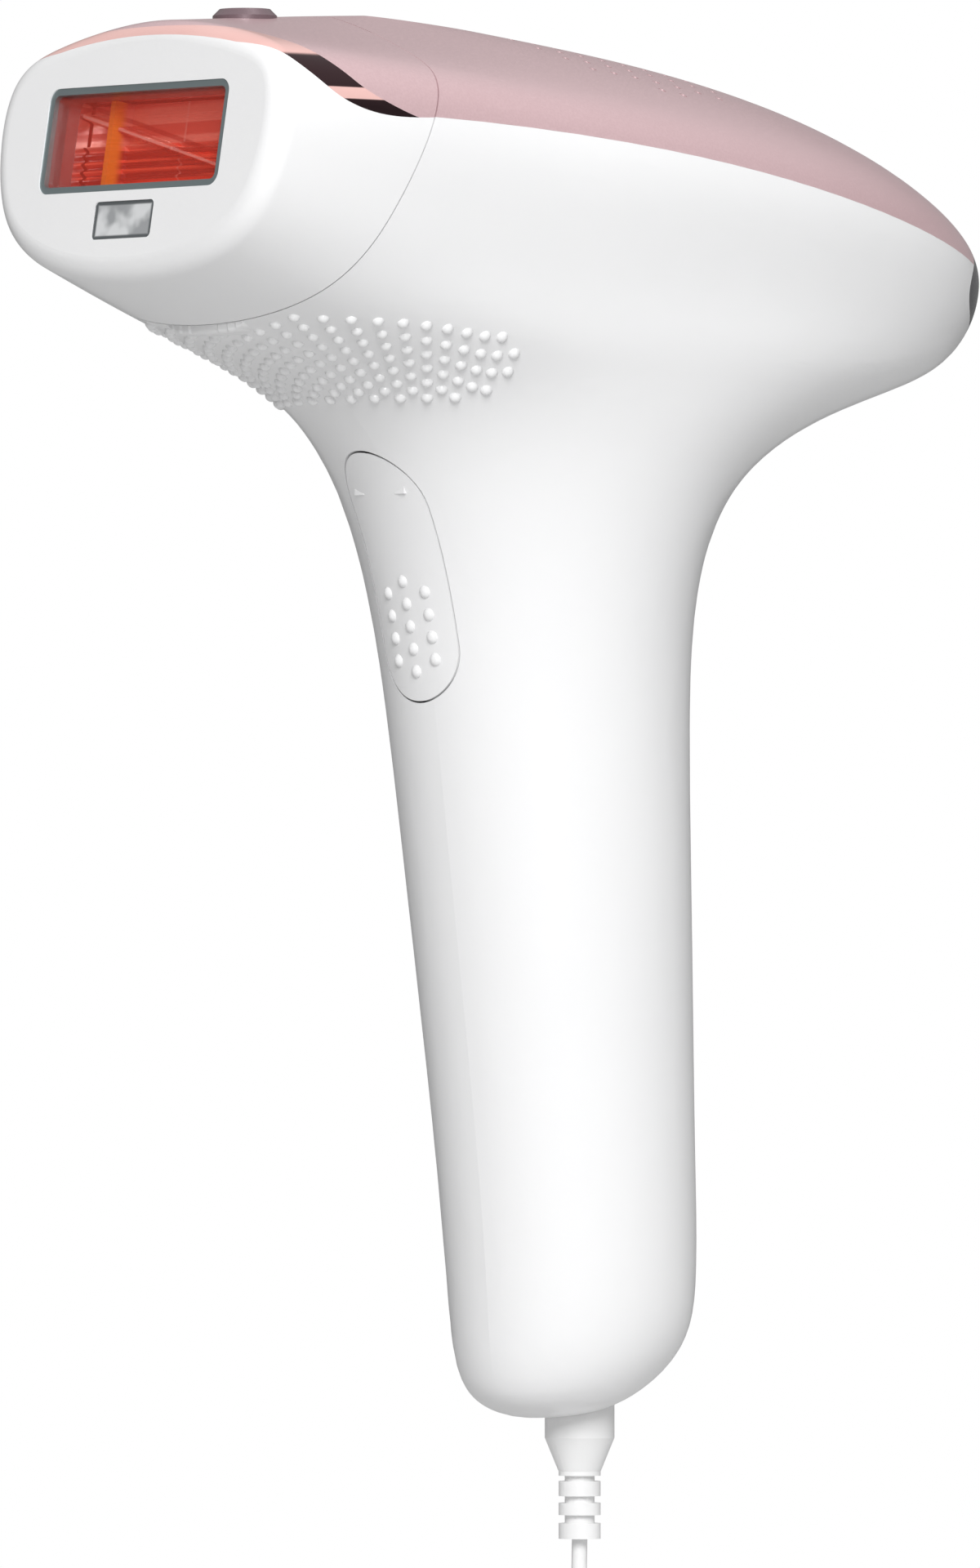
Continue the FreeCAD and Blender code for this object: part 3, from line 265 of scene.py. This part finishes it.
amber = Finish("amber_glass", (0.86, 0.055, 0.03), 0.05, 0.0, Alpha=0.24, IOR=1.45,
               Coat_Weight=0.7, Coat_Roughness=0.03)
amber.set(Base_Color=amber.mix(amber.noise(45.0), (0.80, 0.045, 0.025), (0.92, 0.075, 0.04)))
amber.put_on("filter_glass")

mirror = Finish("mirror_metal", (0.86, 0.86, 0.87), 0.12, 1.0)
mirror.set(Roughness=0.08 + 0.16 * mirror.noise(160.0, 2.0))
mirror.bump(mirror.noise(240.0), 0.00012, 0.35)
mirror.put_on("mirror_tunnel", "lamp_mirror")

# %% [markdown]
# Under the window a clear pane covers the skin tone sensor. It's plain acrylic over a small
# circuit board, and a faint frosting keeps the board from being read through it.

# %% Sensor pane
FACE_LEAN = math.radians(10.0)
pane_low, pane_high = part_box("sensor_window")
pane_middle = (pane_low + pane_high) / 2
PANE_HALF_WIDTH, PANE_HALF_HEIGHT = 0.0065, 0.0028

pane = Finish("clear_window", (0.72, 0.73, 0.74), 0.1, 0.0, Alpha=0.9, IOR=1.49, Coat_Weight=0.4)
up_face = (pane.axis("Z") - pane_middle.z) * math.cos(FACE_LEAN) \
    - (pane.axis("X") - pane_middle.x) * math.sin(FACE_LEAN)
aside = abs(pane.axis("Y")) / PANE_HALF_WIDTH
upward = abs(up_face) / PANE_HALF_HEIGHT
rim = aside.span(0.86, 0.93).larger(upward.span(0.74, 0.86))
cloudy = pane.mix(pane.noise(210.0, 2.0).span(0.38, 0.6), (0.36, 0.37, 0.38), (0.74, 0.75, 0.76))
pane.set(Base_Color=pane.mix(rim, cloudy, (0.10, 0.11, 0.115)),
         Roughness=0.06 + 0.2 * pane.noise(420.0, 3.0))
pane.put_on("sensor_window")

# %% [markdown]
# The tunnel behind the glass isn't plain: its far end carries fine mirrored ribs that throw the
# flash forward evenly, crossed by one upright bar and one slanting bar. A height field on a grid
# does it all: a sheet whose depth is two bands and one cosine, in the frame of the leaning face.

# %% Mirrored ribs in the tunnel
RIB_HALF_WIDTH, RIB_HALF_HEIGHT, RIB_DEPTH = 0.0186, 0.0068, 0.0058
RIB_PITCH, RIB_RELIEF, RIBS_BELOW = 0.00125, 0.0007, 0.0008
UPRIGHT_AT, UPRIGHT_HALF, UPRIGHT_RELIEF = -0.0112, 0.0006, 0.003
SLANT, SLANT_HALF, SLANT_RELIEF = 0.27, 0.0003, 0.0022
window_low, window_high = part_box("filter_glass")
window_middle = (window_low + window_high) / 2


def band(value, middle, half):
    """1 within half of the middle, falling to 0 over the same distance again."""
    return np.clip(2 - np.abs(value - middle) / half, 0, 1)


def leaning(across, up, depth):
    """Place in the frame of the face: out along its normal, across along Y, up its slope."""
    out = np.array([math.cos(FACE_LEAN), 0.0, math.sin(FACE_LEAN)])
    slope = np.array([-math.sin(FACE_LEAN), 0.0, math.cos(FACE_LEAN)])
    side = np.array([0.0, 1.0, 0.0])
    start = np.array(window_middle)
    return start + depth[..., None] * out + across[..., None] * side + up[..., None] * slope


def grid_faces(rows, columns):
    """Quads between neighbouring points of a grid."""
    i, j = np.meshgrid(np.arange(rows - 1), np.arange(columns - 1), indexing="ij")
    first = (i * columns + j).ravel()
    return np.stack([first, first + columns, first + columns + 1, first + 1], axis=1)


def sheet_piece(name, grid, body):
    """A mesh from a grid of points, riding on a body."""
    rows, columns = grid.shape[:2]
    mesh = bpy.data.meshes.new(name)
    mesh.from_pydata(grid.reshape(-1, 3).tolist(), [], grid_faces(rows, columns).tolist())
    mesh.update()
    piece = bpy.data.objects.new(name, mesh)
    scene.collection.objects.link(piece)
    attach(piece, body)
    print(name, len(mesh.polygons), "faces")
    return piece


across, up = np.meshgrid(np.linspace(-RIB_HALF_WIDTH, RIB_HALF_WIDTH, 150),
                         np.linspace(-RIB_HALF_HEIGHT, RIB_HALF_HEIGHT, 110), indexing="ij")
ribs = 0.5 - 0.5 * np.cos(2 * math.pi * up / RIB_PITCH)
ribs = ribs * (up < RIBS_BELOW)
upright = band(across, UPRIGHT_AT, UPRIGHT_HALF)
slanting = band(up + SLANT * across, 0.0, SLANT_HALF)
relief = np.maximum(np.maximum(ribs * RIB_RELIEF, upright * UPRIGHT_RELIEF), slanting * SLANT_RELIEF)
mirror_ribs = sheet_piece("mirror_ribs", leaning(across, up, relief - RIB_DEPTH), "attachment")

# %% [markdown]
# Mirrors in the tunnel show the lamp and each other as bright and dark streaks. These reflections
# are painted as colour in the frame of the leaning face: painted streaks along the ribs in the
# lower half, a smoother upper half with paler painted patches, painted shade in a groove beside
# the slanting bar, a thin upright thread of painted highlight, and a hot orange painted highlight
# on the upright bar.

# %% Finish of the ribs, with painted reflections
# Every colour of this finish is painted reflection: the lamp and the mirrors, seen through the glass.
glow = Finish("mirror_painted_reflections", (0.9, 0.42, 0.24), 0.3, 0.1)
slope_up = (glow.axis("Z") - window_middle.z) * math.cos(FACE_LEAN) \
    - (glow.axis("X") - window_middle.x) * math.sin(FACE_LEAN)
side = glow.axis("Y")
stretched = new_node(glow.tree, "ShaderNodeMapping", {"Vector": glow.place,
                                                      "Scale": (0.02, 0.014, 1.0)})


def level_noise(per_metre, detail, low, high):
    """Noise drawn out along the ribs, with its contrast raised between two of its values."""
    sockets = {"Vector": stretched, "Scale": per_metre, "Detail": detail}
    return new_node(glow.tree, "ShaderNodeTexNoise", sockets, "Fac").span(low, high)


def line_mask(distance, inner, outer):
    """1 within the inner distance of a line, 0 beyond the outer one."""
    return 1.0 - abs(distance).span(inner, outer)


# Painted reflections: light and dark streaks along the ribs, and paler patches higher up.
reflected_streaks = level_noise(1700.0, 1.0, 0.42, 0.56)
reflected_patches = level_noise(330.0, 1.0, 0.5, 0.56)
lower = 1.0 - slope_up.span(-0.0006, 0.0012)
slant_line = slope_up + SLANT * side
# A painted highlight along the slanting bar, and painted shade in a groove beside it.
slant_highlight = line_mask(slant_line, 0.0001, 0.0003)
groove_shade = line_mask(slant_line - 0.0016, 0.0002, 0.0005)
# Painted highlights on a thin upright thread and, in hot orange, on the upright bar.
thread_highlight = line_mask(side - 0.0022, 0.0001, 0.0003)
bar_highlight = line_mask(side - UPRIGHT_AT, 0.0008, 0.0011)
# The painted reflections, the groove's painted shade and the painted highlights mixed as colour.
upper_reflection = glow.mix(reflected_patches, (0.66, 0.14, 0.10), (1.0, 0.40, 0.30))
lower_reflection = glow.mix(reflected_streaks, (0.20, 0.006, 0.004), (1.0, 0.13, 0.06))
reflection_colour = glow.mix(lower, upper_reflection, lower_reflection)
reflection_colour = glow.mix(groove_shade * 0.7, reflection_colour, (0.25, 0.01, 0.008))
reflection_colour = glow.mix(slant_highlight * 0.7 + thread_highlight * 0.4, reflection_colour, (1.0, 0.62, 0.54))
glow.set(Base_Color=glow.mix(bar_highlight, reflection_colour, (1.0, 0.34, 0.01)),
         Roughness=0.25 + 0.2 * reflected_streaks)
glow.put_on(mirror_ribs)

# %% [markdown]
# The rest are everyday finishes that differ in a few numbers: colour, gloss, how much metal, the
# size of the grain and its depth. A table with one short function keeps them easy to compare.

# %% Plain finishes
PLAIN = {
    "graphite": ((0.075, 0.075, 0.08), 0.22, 0.1, 500, 0.00002, ("tail_panel",)),
    "graphite_button": ((0.11, 0.11, 0.115), 0.4, 0.0, 900, 0.00004, ("power_button",)),
    "light_lens": ((0.70, 0.73, 0.70), 0.3, 0.0, 600, 0.00002, ("level_lights",)),
    "board_green": ((0.012, 0.085, 0.03), 0.35, 0.0, 700, 0.00003,
                    ("main_board", "switch_board", "indicator_board", "sensor_board")),
    "spring_steel": ((0.48, 0.48, 0.47), 0.3, 1.0, 1200, 0.00002,
                     ("nose_clips", "pivot_pin", "board_screws")),
    "black_plastic": ((0.012, 0.012, 0.013), 0.45, 0.0, 900, 0.00005,
                      ("coding_block", "micro_switch", "board_chips", "fan_frame", "fan_rotor",
                       "power_socket")),
    "switch_red": ((0.42, 0.02, 0.015), 0.4, 0.0, 900, 0.00002, ("switch_plunger",)),
    "tube_cap_metal": ((0.55, 0.55, 0.53), 0.35, 1.0, 1000, 0.00002, ("tube_caps",)),
    "grey_ceramic": ((0.55, 0.54, 0.50), 0.6, 0.0, 800, 0.00006, ("lamp_holder",)),
    "grey_plastic": ((0.30, 0.30, 0.31), 0.5, 0.0, 800, 0.00005,
                     ("front_collar", "board_posts", "capacitor_supports", "socket_support")),
    "transformer_yellow": ((0.62, 0.42, 0.06), 0.5, 0.0, 500, 0.00006, ("charging_transformer",)),
    "sink_metal": ((0.50, 0.50, 0.52), 0.4, 1.0, 1500, 0.00003, ("heat_sink",)),
    "capacitor_sleeve": ((0.01, 0.012, 0.02), 0.3, 0.0, 400, 0.00004, ("flash_capacitor",)),
    "contact_brass": ((0.65, 0.44, 0.14), 0.28, 1.0, 1200, 0.00002, ("socket_contacts",)),
    "barrel_nickel": ((0.62, 0.61, 0.58), 0.18, 1.0, 1200, 0.00001, ("plug_barrel",)),
    "pin_nickel": ((0.60, 0.59, 0.56), 0.2, 1.0, 1200, 0.00001, ("mains_pins",)),
    "plug_white": ((0.88, 0.88, 0.88), 0.36, 0.0, 1100, 0.00004,
                   ("power_plug", "adapter_body", "adapter_cover", "adapter_relief")),
    "tie_black": ((0.015, 0.015, 0.016), 0.8, 0.0, 2600, 0.0001, ("coil_tie",)),
}


def plain_finish(name, colour, roughness, metallic, grain, depth):
    """Colour and gloss that wander by a few percent, with a fine even grain in the surface."""
    made = Finish(name, colour, roughness, metallic)
    wander, fine = made.noise(grain / 12, 2.0), made.noise(grain, 2.0)
    darker = tuple(0.88 * c for c in colour)
    lighter = tuple(min(1.1 * c, 1.0) for c in colour)
    made.set(Base_Color=made.mix(wander, darker, lighter),
             Roughness=roughness * 0.8 + roughness * 0.4 * fine)
    return made.bump(fine, depth, 0.5)


for name, (*recipe, wearers) in PLAIN.items():
    plain_finish(name, *recipe).put_on(*wearers)

# %% [markdown]
# The flash tube is clear quartz glass. Glass gets its look from Transmission, whose one value sits
# on the shader, and only its roughness varies a little.

# %% Lamp glass
lamp = Finish("lamp_glass", (0.92, 0.95, 0.97), 0.03, 0.0, Transmission_Weight=0.95, IOR=1.46)
lamp.set(Roughness=0.02 + 0.05 * lamp.noise(200.0))
lamp.put_on("flash_tube")

# %% [markdown]
# Under the nose, small raised dots give the fingers a hold. They sit on a surface that curves two
# ways, so they're placed by rays. Each column is an upright line on the throat, found by shooting
# rays inwards at the shell from one direction; the dots stand at equal steps along its own length,
# every other column shifted by half a step. That keeps the dots evenly apart where the throat
# turns level under the nose, which equal heights wouldn't.

# %% Find the columns
AXIS_X = 0.030
FIELD_LOW, FIELD_HIGH, FIELD_SIDE = 0.0786, 0.0902, 77.0
COLUMN_STEP, DOT_STEP, FIRST_SHARE = 5.2, 0.0033, 0.15
FRONT_LIMIT, ROUND_FROM, RAY_STEP = 0.0722, 56.0, 0.0001
shell_mesh = nodes["housing"].data
shell_tree = BVHTree.FromPolygons([v.co for v in shell_mesh.vertices],
                                  [p.vertices for p in shell_mesh.polygons])


def column_line(angle):
    """Points and normals on the shell from below upwards, in one direction from the axis.

    The field keeps its height up to ROUND_FROM degrees, then closes in an ellipse.
    """
    beyond = np.clip((abs(angle) - ROUND_FROM) / (FIELD_SIDE + 1.0 - ROUND_FROM), 0, 1)
    half = (FIELD_HIGH - FIELD_LOW) / 2 * math.sqrt(1 - beyond ** 2)
    middle = (FIELD_HIGH + FIELD_LOW) / 2
    out = Vector((math.cos(math.radians(angle)), math.sin(math.radians(angle)), 0.0))
    found = []
    for height in np.arange(middle - half, middle + half, RAY_STEP):
        hit, normal, _, _ = shell_tree.ray_cast(Vector((AXIS_X, 0.0, height)) + out * 0.12, -out)
        if hit is not None and hit.x < FRONT_LIMIT and normal.dot(out) > 0.1:
            found.append((*hit, *normal))
    return np.array(found).reshape(-1, 6)


def spread(line, step, shift):
    """Rows of the line at equal steps of its own length, starting at a share of a step."""
    travel = np.concatenate([[0.0], np.cumsum(np.linalg.norm(np.diff(line[:, :3], axis=0), axis=1))])
    marks = np.arange(FIRST_SHARE + shift, travel[-1] / step, 1.0) * step
    return np.stack([np.interp(marks, travel, line[:, k]) for k in range(6)], axis=1)


dots = []
for column, angle in enumerate(np.arange(-FIELD_SIDE, FIELD_SIDE + 0.1, COLUMN_STEP)):
    line = column_line(float(angle))
    if len(line) > 3:
        dots.append(spread(line, DOT_STEP, 0.5 * (column % 2)))
dots = np.concatenate(dots)
print(len(dots), "grip dots")

# %% [markdown]
# Each dot is a low half ball, sunk a little so that no gap shows. All of them are worked out at
# once: the same rings of points are set up in the frame of every dot's own normal. With twelve
# sides and four rings a dot has under fifty faces, which is plenty at its size.

# %% Shape the dots
DOT_RADIUS, DOT_HEIGHT, DOT_SINK = 0.00096, 0.00092, 0.00022
DOT_SIDES, DOT_RINGS = 12, 4


def domes(places, normals):
    """Half balls on a surface: p = place + n*h*cos(a) + r*sin(a)*(u*cos(b) + v*sin(b)).

    a runs from the top of each dome to its foot and b once round it; u and v span the surface.
    """
    n = normals / np.linalg.norm(normals, axis=1, keepdims=True)
    u = np.cross(n, (0.0, 0.0, 1.0))
    u /= np.linalg.norm(u, axis=1, keepdims=True)
    v = np.cross(n, u)
    a = np.linspace(0, math.pi / 2, DOT_RINGS + 1)[1:]
    b = np.linspace(0, 2 * math.pi, DOT_SIDES, endpoint=False)
    a_grid, b_grid = np.meshgrid(a, b, indexing="ij")
    aside = (u[:, None, None] * np.cos(b_grid)[..., None]
             + v[:, None, None] * np.sin(b_grid)[..., None]) * np.sin(a_grid)[..., None]
    rise = n[:, None, None] * np.cos(a_grid)[..., None] * DOT_HEIGHT
    foot = (places - n * DOT_SINK)[:, None, None]
    rings = (foot + rise + aside * DOT_RADIUS).reshape(len(places), -1, 3)
    tops = places - n * DOT_SINK + n * DOT_HEIGHT
    return np.concatenate([tops[:, None], rings], axis=1)


def dome_faces(count):
    """Triangles round the top and quads between the rings, for every dome."""
    b = np.arange(DOT_SIDES)
    c = (b + 1) % DOT_SIDES
    ring = 1 + np.arange(DOT_RINGS - 1)[:, None] * DOT_SIDES
    fan = np.stack([np.zeros(DOT_SIDES, int), 1 + b, 1 + c], axis=1)
    bands = np.stack([ring + b, ring + DOT_SIDES + b, ring + DOT_SIDES + c, ring + c], axis=2)
    first = np.arange(count)[:, None, None] * (1 + DOT_RINGS * DOT_SIDES)
    triangles, quads = first + fan, first + bands.reshape(-1, 4)
    return triangles.reshape(-1, 3).tolist() + quads.reshape(-1, 4).tolist()


points = domes(dots[:, :3], dots[:, 3:])
grip_mesh = bpy.data.meshes.new("grip_dots")
grip_mesh.from_pydata(points.reshape(-1, 3).tolist(), [], dome_faces(len(dots)))
grip_mesh.update()
grip_mesh.polygons.foreach_set("use_smooth", [True] * len(grip_mesh.polygons))
grip_dots = bpy.data.objects.new("grip_dots", grip_mesh)
scene.collection.objects.link(grip_dots)
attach(grip_dots, "device")
white.put_on(grip_dots)
print("grip dots:", len(grip_mesh.polygons), "faces")

# %% [markdown]
# Where the nose meets the throat, a small ledge lets a fingernail pull the nose off. Its upper edge
# follows the joint, so that edge is found by rays too: for each place across the throat, the
# highest point that still belongs to the shell. The ledge is a closed strip with a nearly square
# corner, and it fades to nothing at both ends.

# %% Nail ledge
LEDGE_SIDE, LEDGE_HEIGHT, LEDGE_SINK, LEDGE_FADE = 0.0082, 0.0014, 0.0005, 0.0026
LEDGE_ROWS, CORNER_STEPS, CORNER_POWER = 41, 10, 0.35


def throat_line(side):
    """Places (x, z) up the front of the throat at one distance from the middle plane."""
    found = []
    for height in np.arange(0.0840, 0.0960, RAY_STEP):
        hit, normal, _, _ = shell_tree.ray_cast(Vector((0.13, side, height)), Vector((-1, 0, 0)))
        if hit is not None and normal.x > 0.1 and normal.z < -0.1:
            found.append((hit.x, height))
    return np.array(found)


def ledge_row(side):
    """Closed outline x = foot + w*cos(a)^p, z = top - h*sin(a)^p, then back inside the shell."""
    line = throat_line(side)
    share = np.clip((LEDGE_SIDE - abs(side)) / LEDGE_FADE, 0.02, 1) ** 0.5
    top_x, top_z = line[-1]
    foot_z = top_z - LEDGE_HEIGHT * share
    foot_x = float(np.interp(foot_z, line[:, 1], line[:, 0]))
    a = np.linspace(0, math.pi / 2, CORNER_STEPS)
    x = foot_x + (top_x - foot_x) * np.cos(a) ** CORNER_POWER
    z = top_z - (top_z - foot_z) * np.sin(a) ** CORNER_POWER
    x = np.concatenate([x, [foot_x - LEDGE_SINK, top_x - LEDGE_SINK]])
    z = np.concatenate([z, [foot_z, top_z]])
    return np.stack([x, np.full(len(x), side), z], axis=1)


rows = [ledge_row(float(side)) for side in np.linspace(-LEDGE_SIDE, LEDGE_SIDE, LEDGE_ROWS)]
outline = len(rows[0])
start = np.arange(LEDGE_ROWS - 1)[:, None] * outline
here, after = np.arange(outline), (np.arange(outline) + 1) % outline
strip = np.stack([start + here, start + after, start + outline + after, start + outline + here],
                 axis=2).reshape(-1, 4)
ends = [tuple(range(outline))[::-1], tuple(range(outline * (LEDGE_ROWS - 1), outline * LEDGE_ROWS))]
ledge_mesh = bpy.data.meshes.new("nail_ledge")
ledge_mesh.from_pydata(np.concatenate(rows).tolist(), [], strip.tolist() + ends)
ledge_mesh.update()
nail_ledge = bpy.data.objects.new("nail_ledge", ledge_mesh)
scene.collection.objects.link(nail_ledge)
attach(nail_ledge, "device")
white.put_on(nail_ledge)
bm = bmesh.new()
bm.from_mesh(ledge_mesh)
print("nail ledge:", len(bm.faces), "faces, volume", round(bm.calc_volume(signed=True) * 1e9, 2), "mm3")
bm.free()

# %% [markdown]
# The lead is thin two-core wire in white PVC: soft, so it hangs straight down from the plug,
# reaches the table in a wide bend and is wound there into a storage coil held by a strap. A NURBS
# curve of order three passes smoothly inside its control points; the coil is a loop that adds
# four layers of turns, inwards and outwards by turns.

# %% Lead route
CORD_RADIUS, POINT_RADIUS = 0.00115, 0.001
COIL_X, FLOOR_Z, STRAP = 0.046, -0.146, 0.0005
OUTER, INNER = 0.0184, 0.0092
LAYERS, TURNS, STEPS_PER_TURN = 4, 16.5, 16
CLIMB_TURNS = 0.25
LEAD_IN = [(0, 0, -0.0879), (0, 0, -0.111), (0.006, -0.004, -0.132), (0.024, -0.013, -0.14485),
           (0.043, -0.0184, -0.14485)]
LEAD_OUT = [(0.043, 0.0184, -0.13745), (0.031, 0.0180, -0.14085), (0.017, 0.002, -0.14385),
            (0.004, 0.0, -0.140)]


def coil_points():
    """r runs to and fro between the outer and the inner turn; each layer climbs one diameter.

    The curve passes inside its control points, so these stand a little further out.
    """
    turn = np.arange(0.5 / STEPS_PER_TURN, TURNS, 1 / STEPS_PER_TURN)
    layer = np.minimum(np.floor(turn / (TURNS / LAYERS)), LAYERS - 1)
    share = turn / (TURNS / LAYERS) - layer
    inward = np.where(layer % 2 == 0, share, 1 - share)
    radius = (OUTER + (INNER - OUTER) * inward) / math.cos(math.pi / STEPS_PER_TURN) ** 0.5
    climb = np.clip(share * (TURNS / LAYERS) / CLIMB_TURNS, 0, 1) - 1
    height = FLOOR_Z + STRAP + CORD_RADIUS * (1 + 2 * (layer + np.where(layer > 0, climb, 0)))
    angle = 2 * math.pi * turn - math.pi / 2
    return np.stack([COIL_X + radius * np.cos(angle), radius * np.sin(angle), height], axis=1)


route = LEAD_IN + [tuple(p) for p in coil_points().tolist()] + LEAD_OUT
lead_curve = bpy.data.curves.new("lead", "CURVE")
lead_curve.dimensions = "3D"
lead_curve.bevel_depth = CORD_RADIUS / POINT_RADIUS
lead_curve.bevel_resolution = 3
lead_curve.resolution_u = 5
lead_curve.use_fill_caps = True
spline = lead_curve.splines.new("NURBS")
spline.points.add(len(route) - 1)
for control, place in zip(spline.points, route):
    control.co = (*place, 1.0)
    control.radius = POINT_RADIUS
spline.order_u = 3
spline.use_endpoint_u = True
lead = bpy.data.objects.new("lead", lead_curve)
scene.collection.objects.link(lead)
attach(lead, "device")
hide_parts("cord", "cord_coil", "cord_end")
lead_length = float(np.linalg.norm(np.diff(np.array(route), axis=0), axis=1).sum())
print("lead about", round(lead_length, 3), "m along its control points")

# %% [markdown]
# The lead's sheath is soft white PVC, a little duller than the plug.

# %% Lead finish
sheath = plain_finish("cord_white", (0.88, 0.88, 0.88), 0.42, 0.0, 1500, 0.00004)
sheath.put_on(lead)

# %% [markdown]
# The floor is a wide disc of matt grey paper under the coil and the adapter. It's far below the
# hand piece, so it mainly sends a soft light up to the undersides.

# %% Floor
FLOOR_RADIUS, FLOOR_SIDES = 1.5, 96
turns = np.linspace(0, 2 * math.pi, FLOOR_SIDES, endpoint=False)
edge = np.stack([FLOOR_RADIUS * np.cos(turns), FLOOR_RADIUS * np.sin(turns),
                 np.full(FLOOR_SIDES, FLOOR_Z)], axis=1)
floor_mesh = bpy.data.meshes.new("floor")
floor_mesh.from_pydata(edge.tolist(), [], [tuple(range(FLOOR_SIDES))])
floor = bpy.data.objects.new("floor", floor_mesh)
scene.collection.objects.link(floor)
paper = Finish("floor_paper", (0.58, 0.58, 0.58), 0.8)
paper.set(Roughness=0.72 + 0.1 * paper.noise(6.0))
paper.put_on(floor)

# %% [markdown]
# White on white needs care: only the steps between light greys show the form of a glossy white
# thing. The surroundings are a ramp by height, dim below and brighter above, so that undersides
# turn grey and upper sides stay light. The camera itself sees plain white in their place.

# %% Surroundings
SKY = ((0.00, 0.12), (0.40, 0.15), (0.50, 0.25), (0.60, 0.31), (0.66, 0.20),
       (0.78, 0.46), (1.00, 0.59))
world = bpy.data.worlds.new("studio")
scene.world = world
world.use_nodes = True
sky_tree = world.node_tree
direction = new_node(sky_tree, "ShaderNodeTexCoord", {}, "Generated")
height = new_node(sky_tree, "ShaderNodeSeparateXYZ", {"Vector": direction}, "Z")
ramp = sky_tree.nodes.new("ShaderNodeValToRGB")
while len(ramp.color_ramp.elements) < len(SKY):
    ramp.color_ramp.elements.new(0.5)
for stop, (place, grey) in zip(ramp.color_ramp.elements, SKY):
    stop.position, stop.color = place, (grey, grey, grey, 1.0)
sky_tree.links.new((0.5 + 0.5 * height).output, ramp.inputs["Fac"])
seen = new_node(sky_tree, "ShaderNodeLightPath", {}, "Is Camera Ray")
shade = new_node(sky_tree, "ShaderNodeMix", {0: seen, 6: Socket(sky_tree, ramp.outputs["Color"]),
                                             7: (1.0, 1.0, 1.0, 1.0)}, 2, data_type="RGBA")
sky_tree.links.new(shade.output, sky_tree.nodes["Background"].inputs["Color"])
scene.view_settings.view_transform = "Standard"
print("surroundings in", len(SKY), "steps of grey")

# %% [markdown]
# Two broad lamps draw the rest. The key stands high on the user's side in front of the nose and
# lights the face and the handle, and a weaker one over the lid gives the pearl its sheen.

# %% Lamps
LAMPS_AIM = Vector((0.02, 0.0, 0.06))
LAMPS = {
    "key": ((1.2, 1.4, 0.95), 0.9, 0.9, 34.0),
    "over_lid": ((-0.1, 0.6, 1.7), 1.0, 0.8, 9.5),
}
for name, (place, width, height, power) in LAMPS.items():
    light = bpy.data.lights.new(name, "AREA")
    light.shape = "RECTANGLE"
    light.size, light.size_y, light.energy = width, height, power
    lamp_object = bpy.data.objects.new(name, light)
    lamp_object.location = place
    aim = LAMPS_AIM - Vector(place)
    lamp_object.rotation_mode = "QUATERNION"
    lamp_object.rotation_quaternion = aim.to_track_quat("-Z", "Y")
    scene.collection.objects.link(lamp_object)
print(len(LAMPS), "lamps")

# %% [markdown]
# Looks don't change the device's size. The scene is brought up to date one last time.

# %% Last update
bpy.context.view_layer.update()
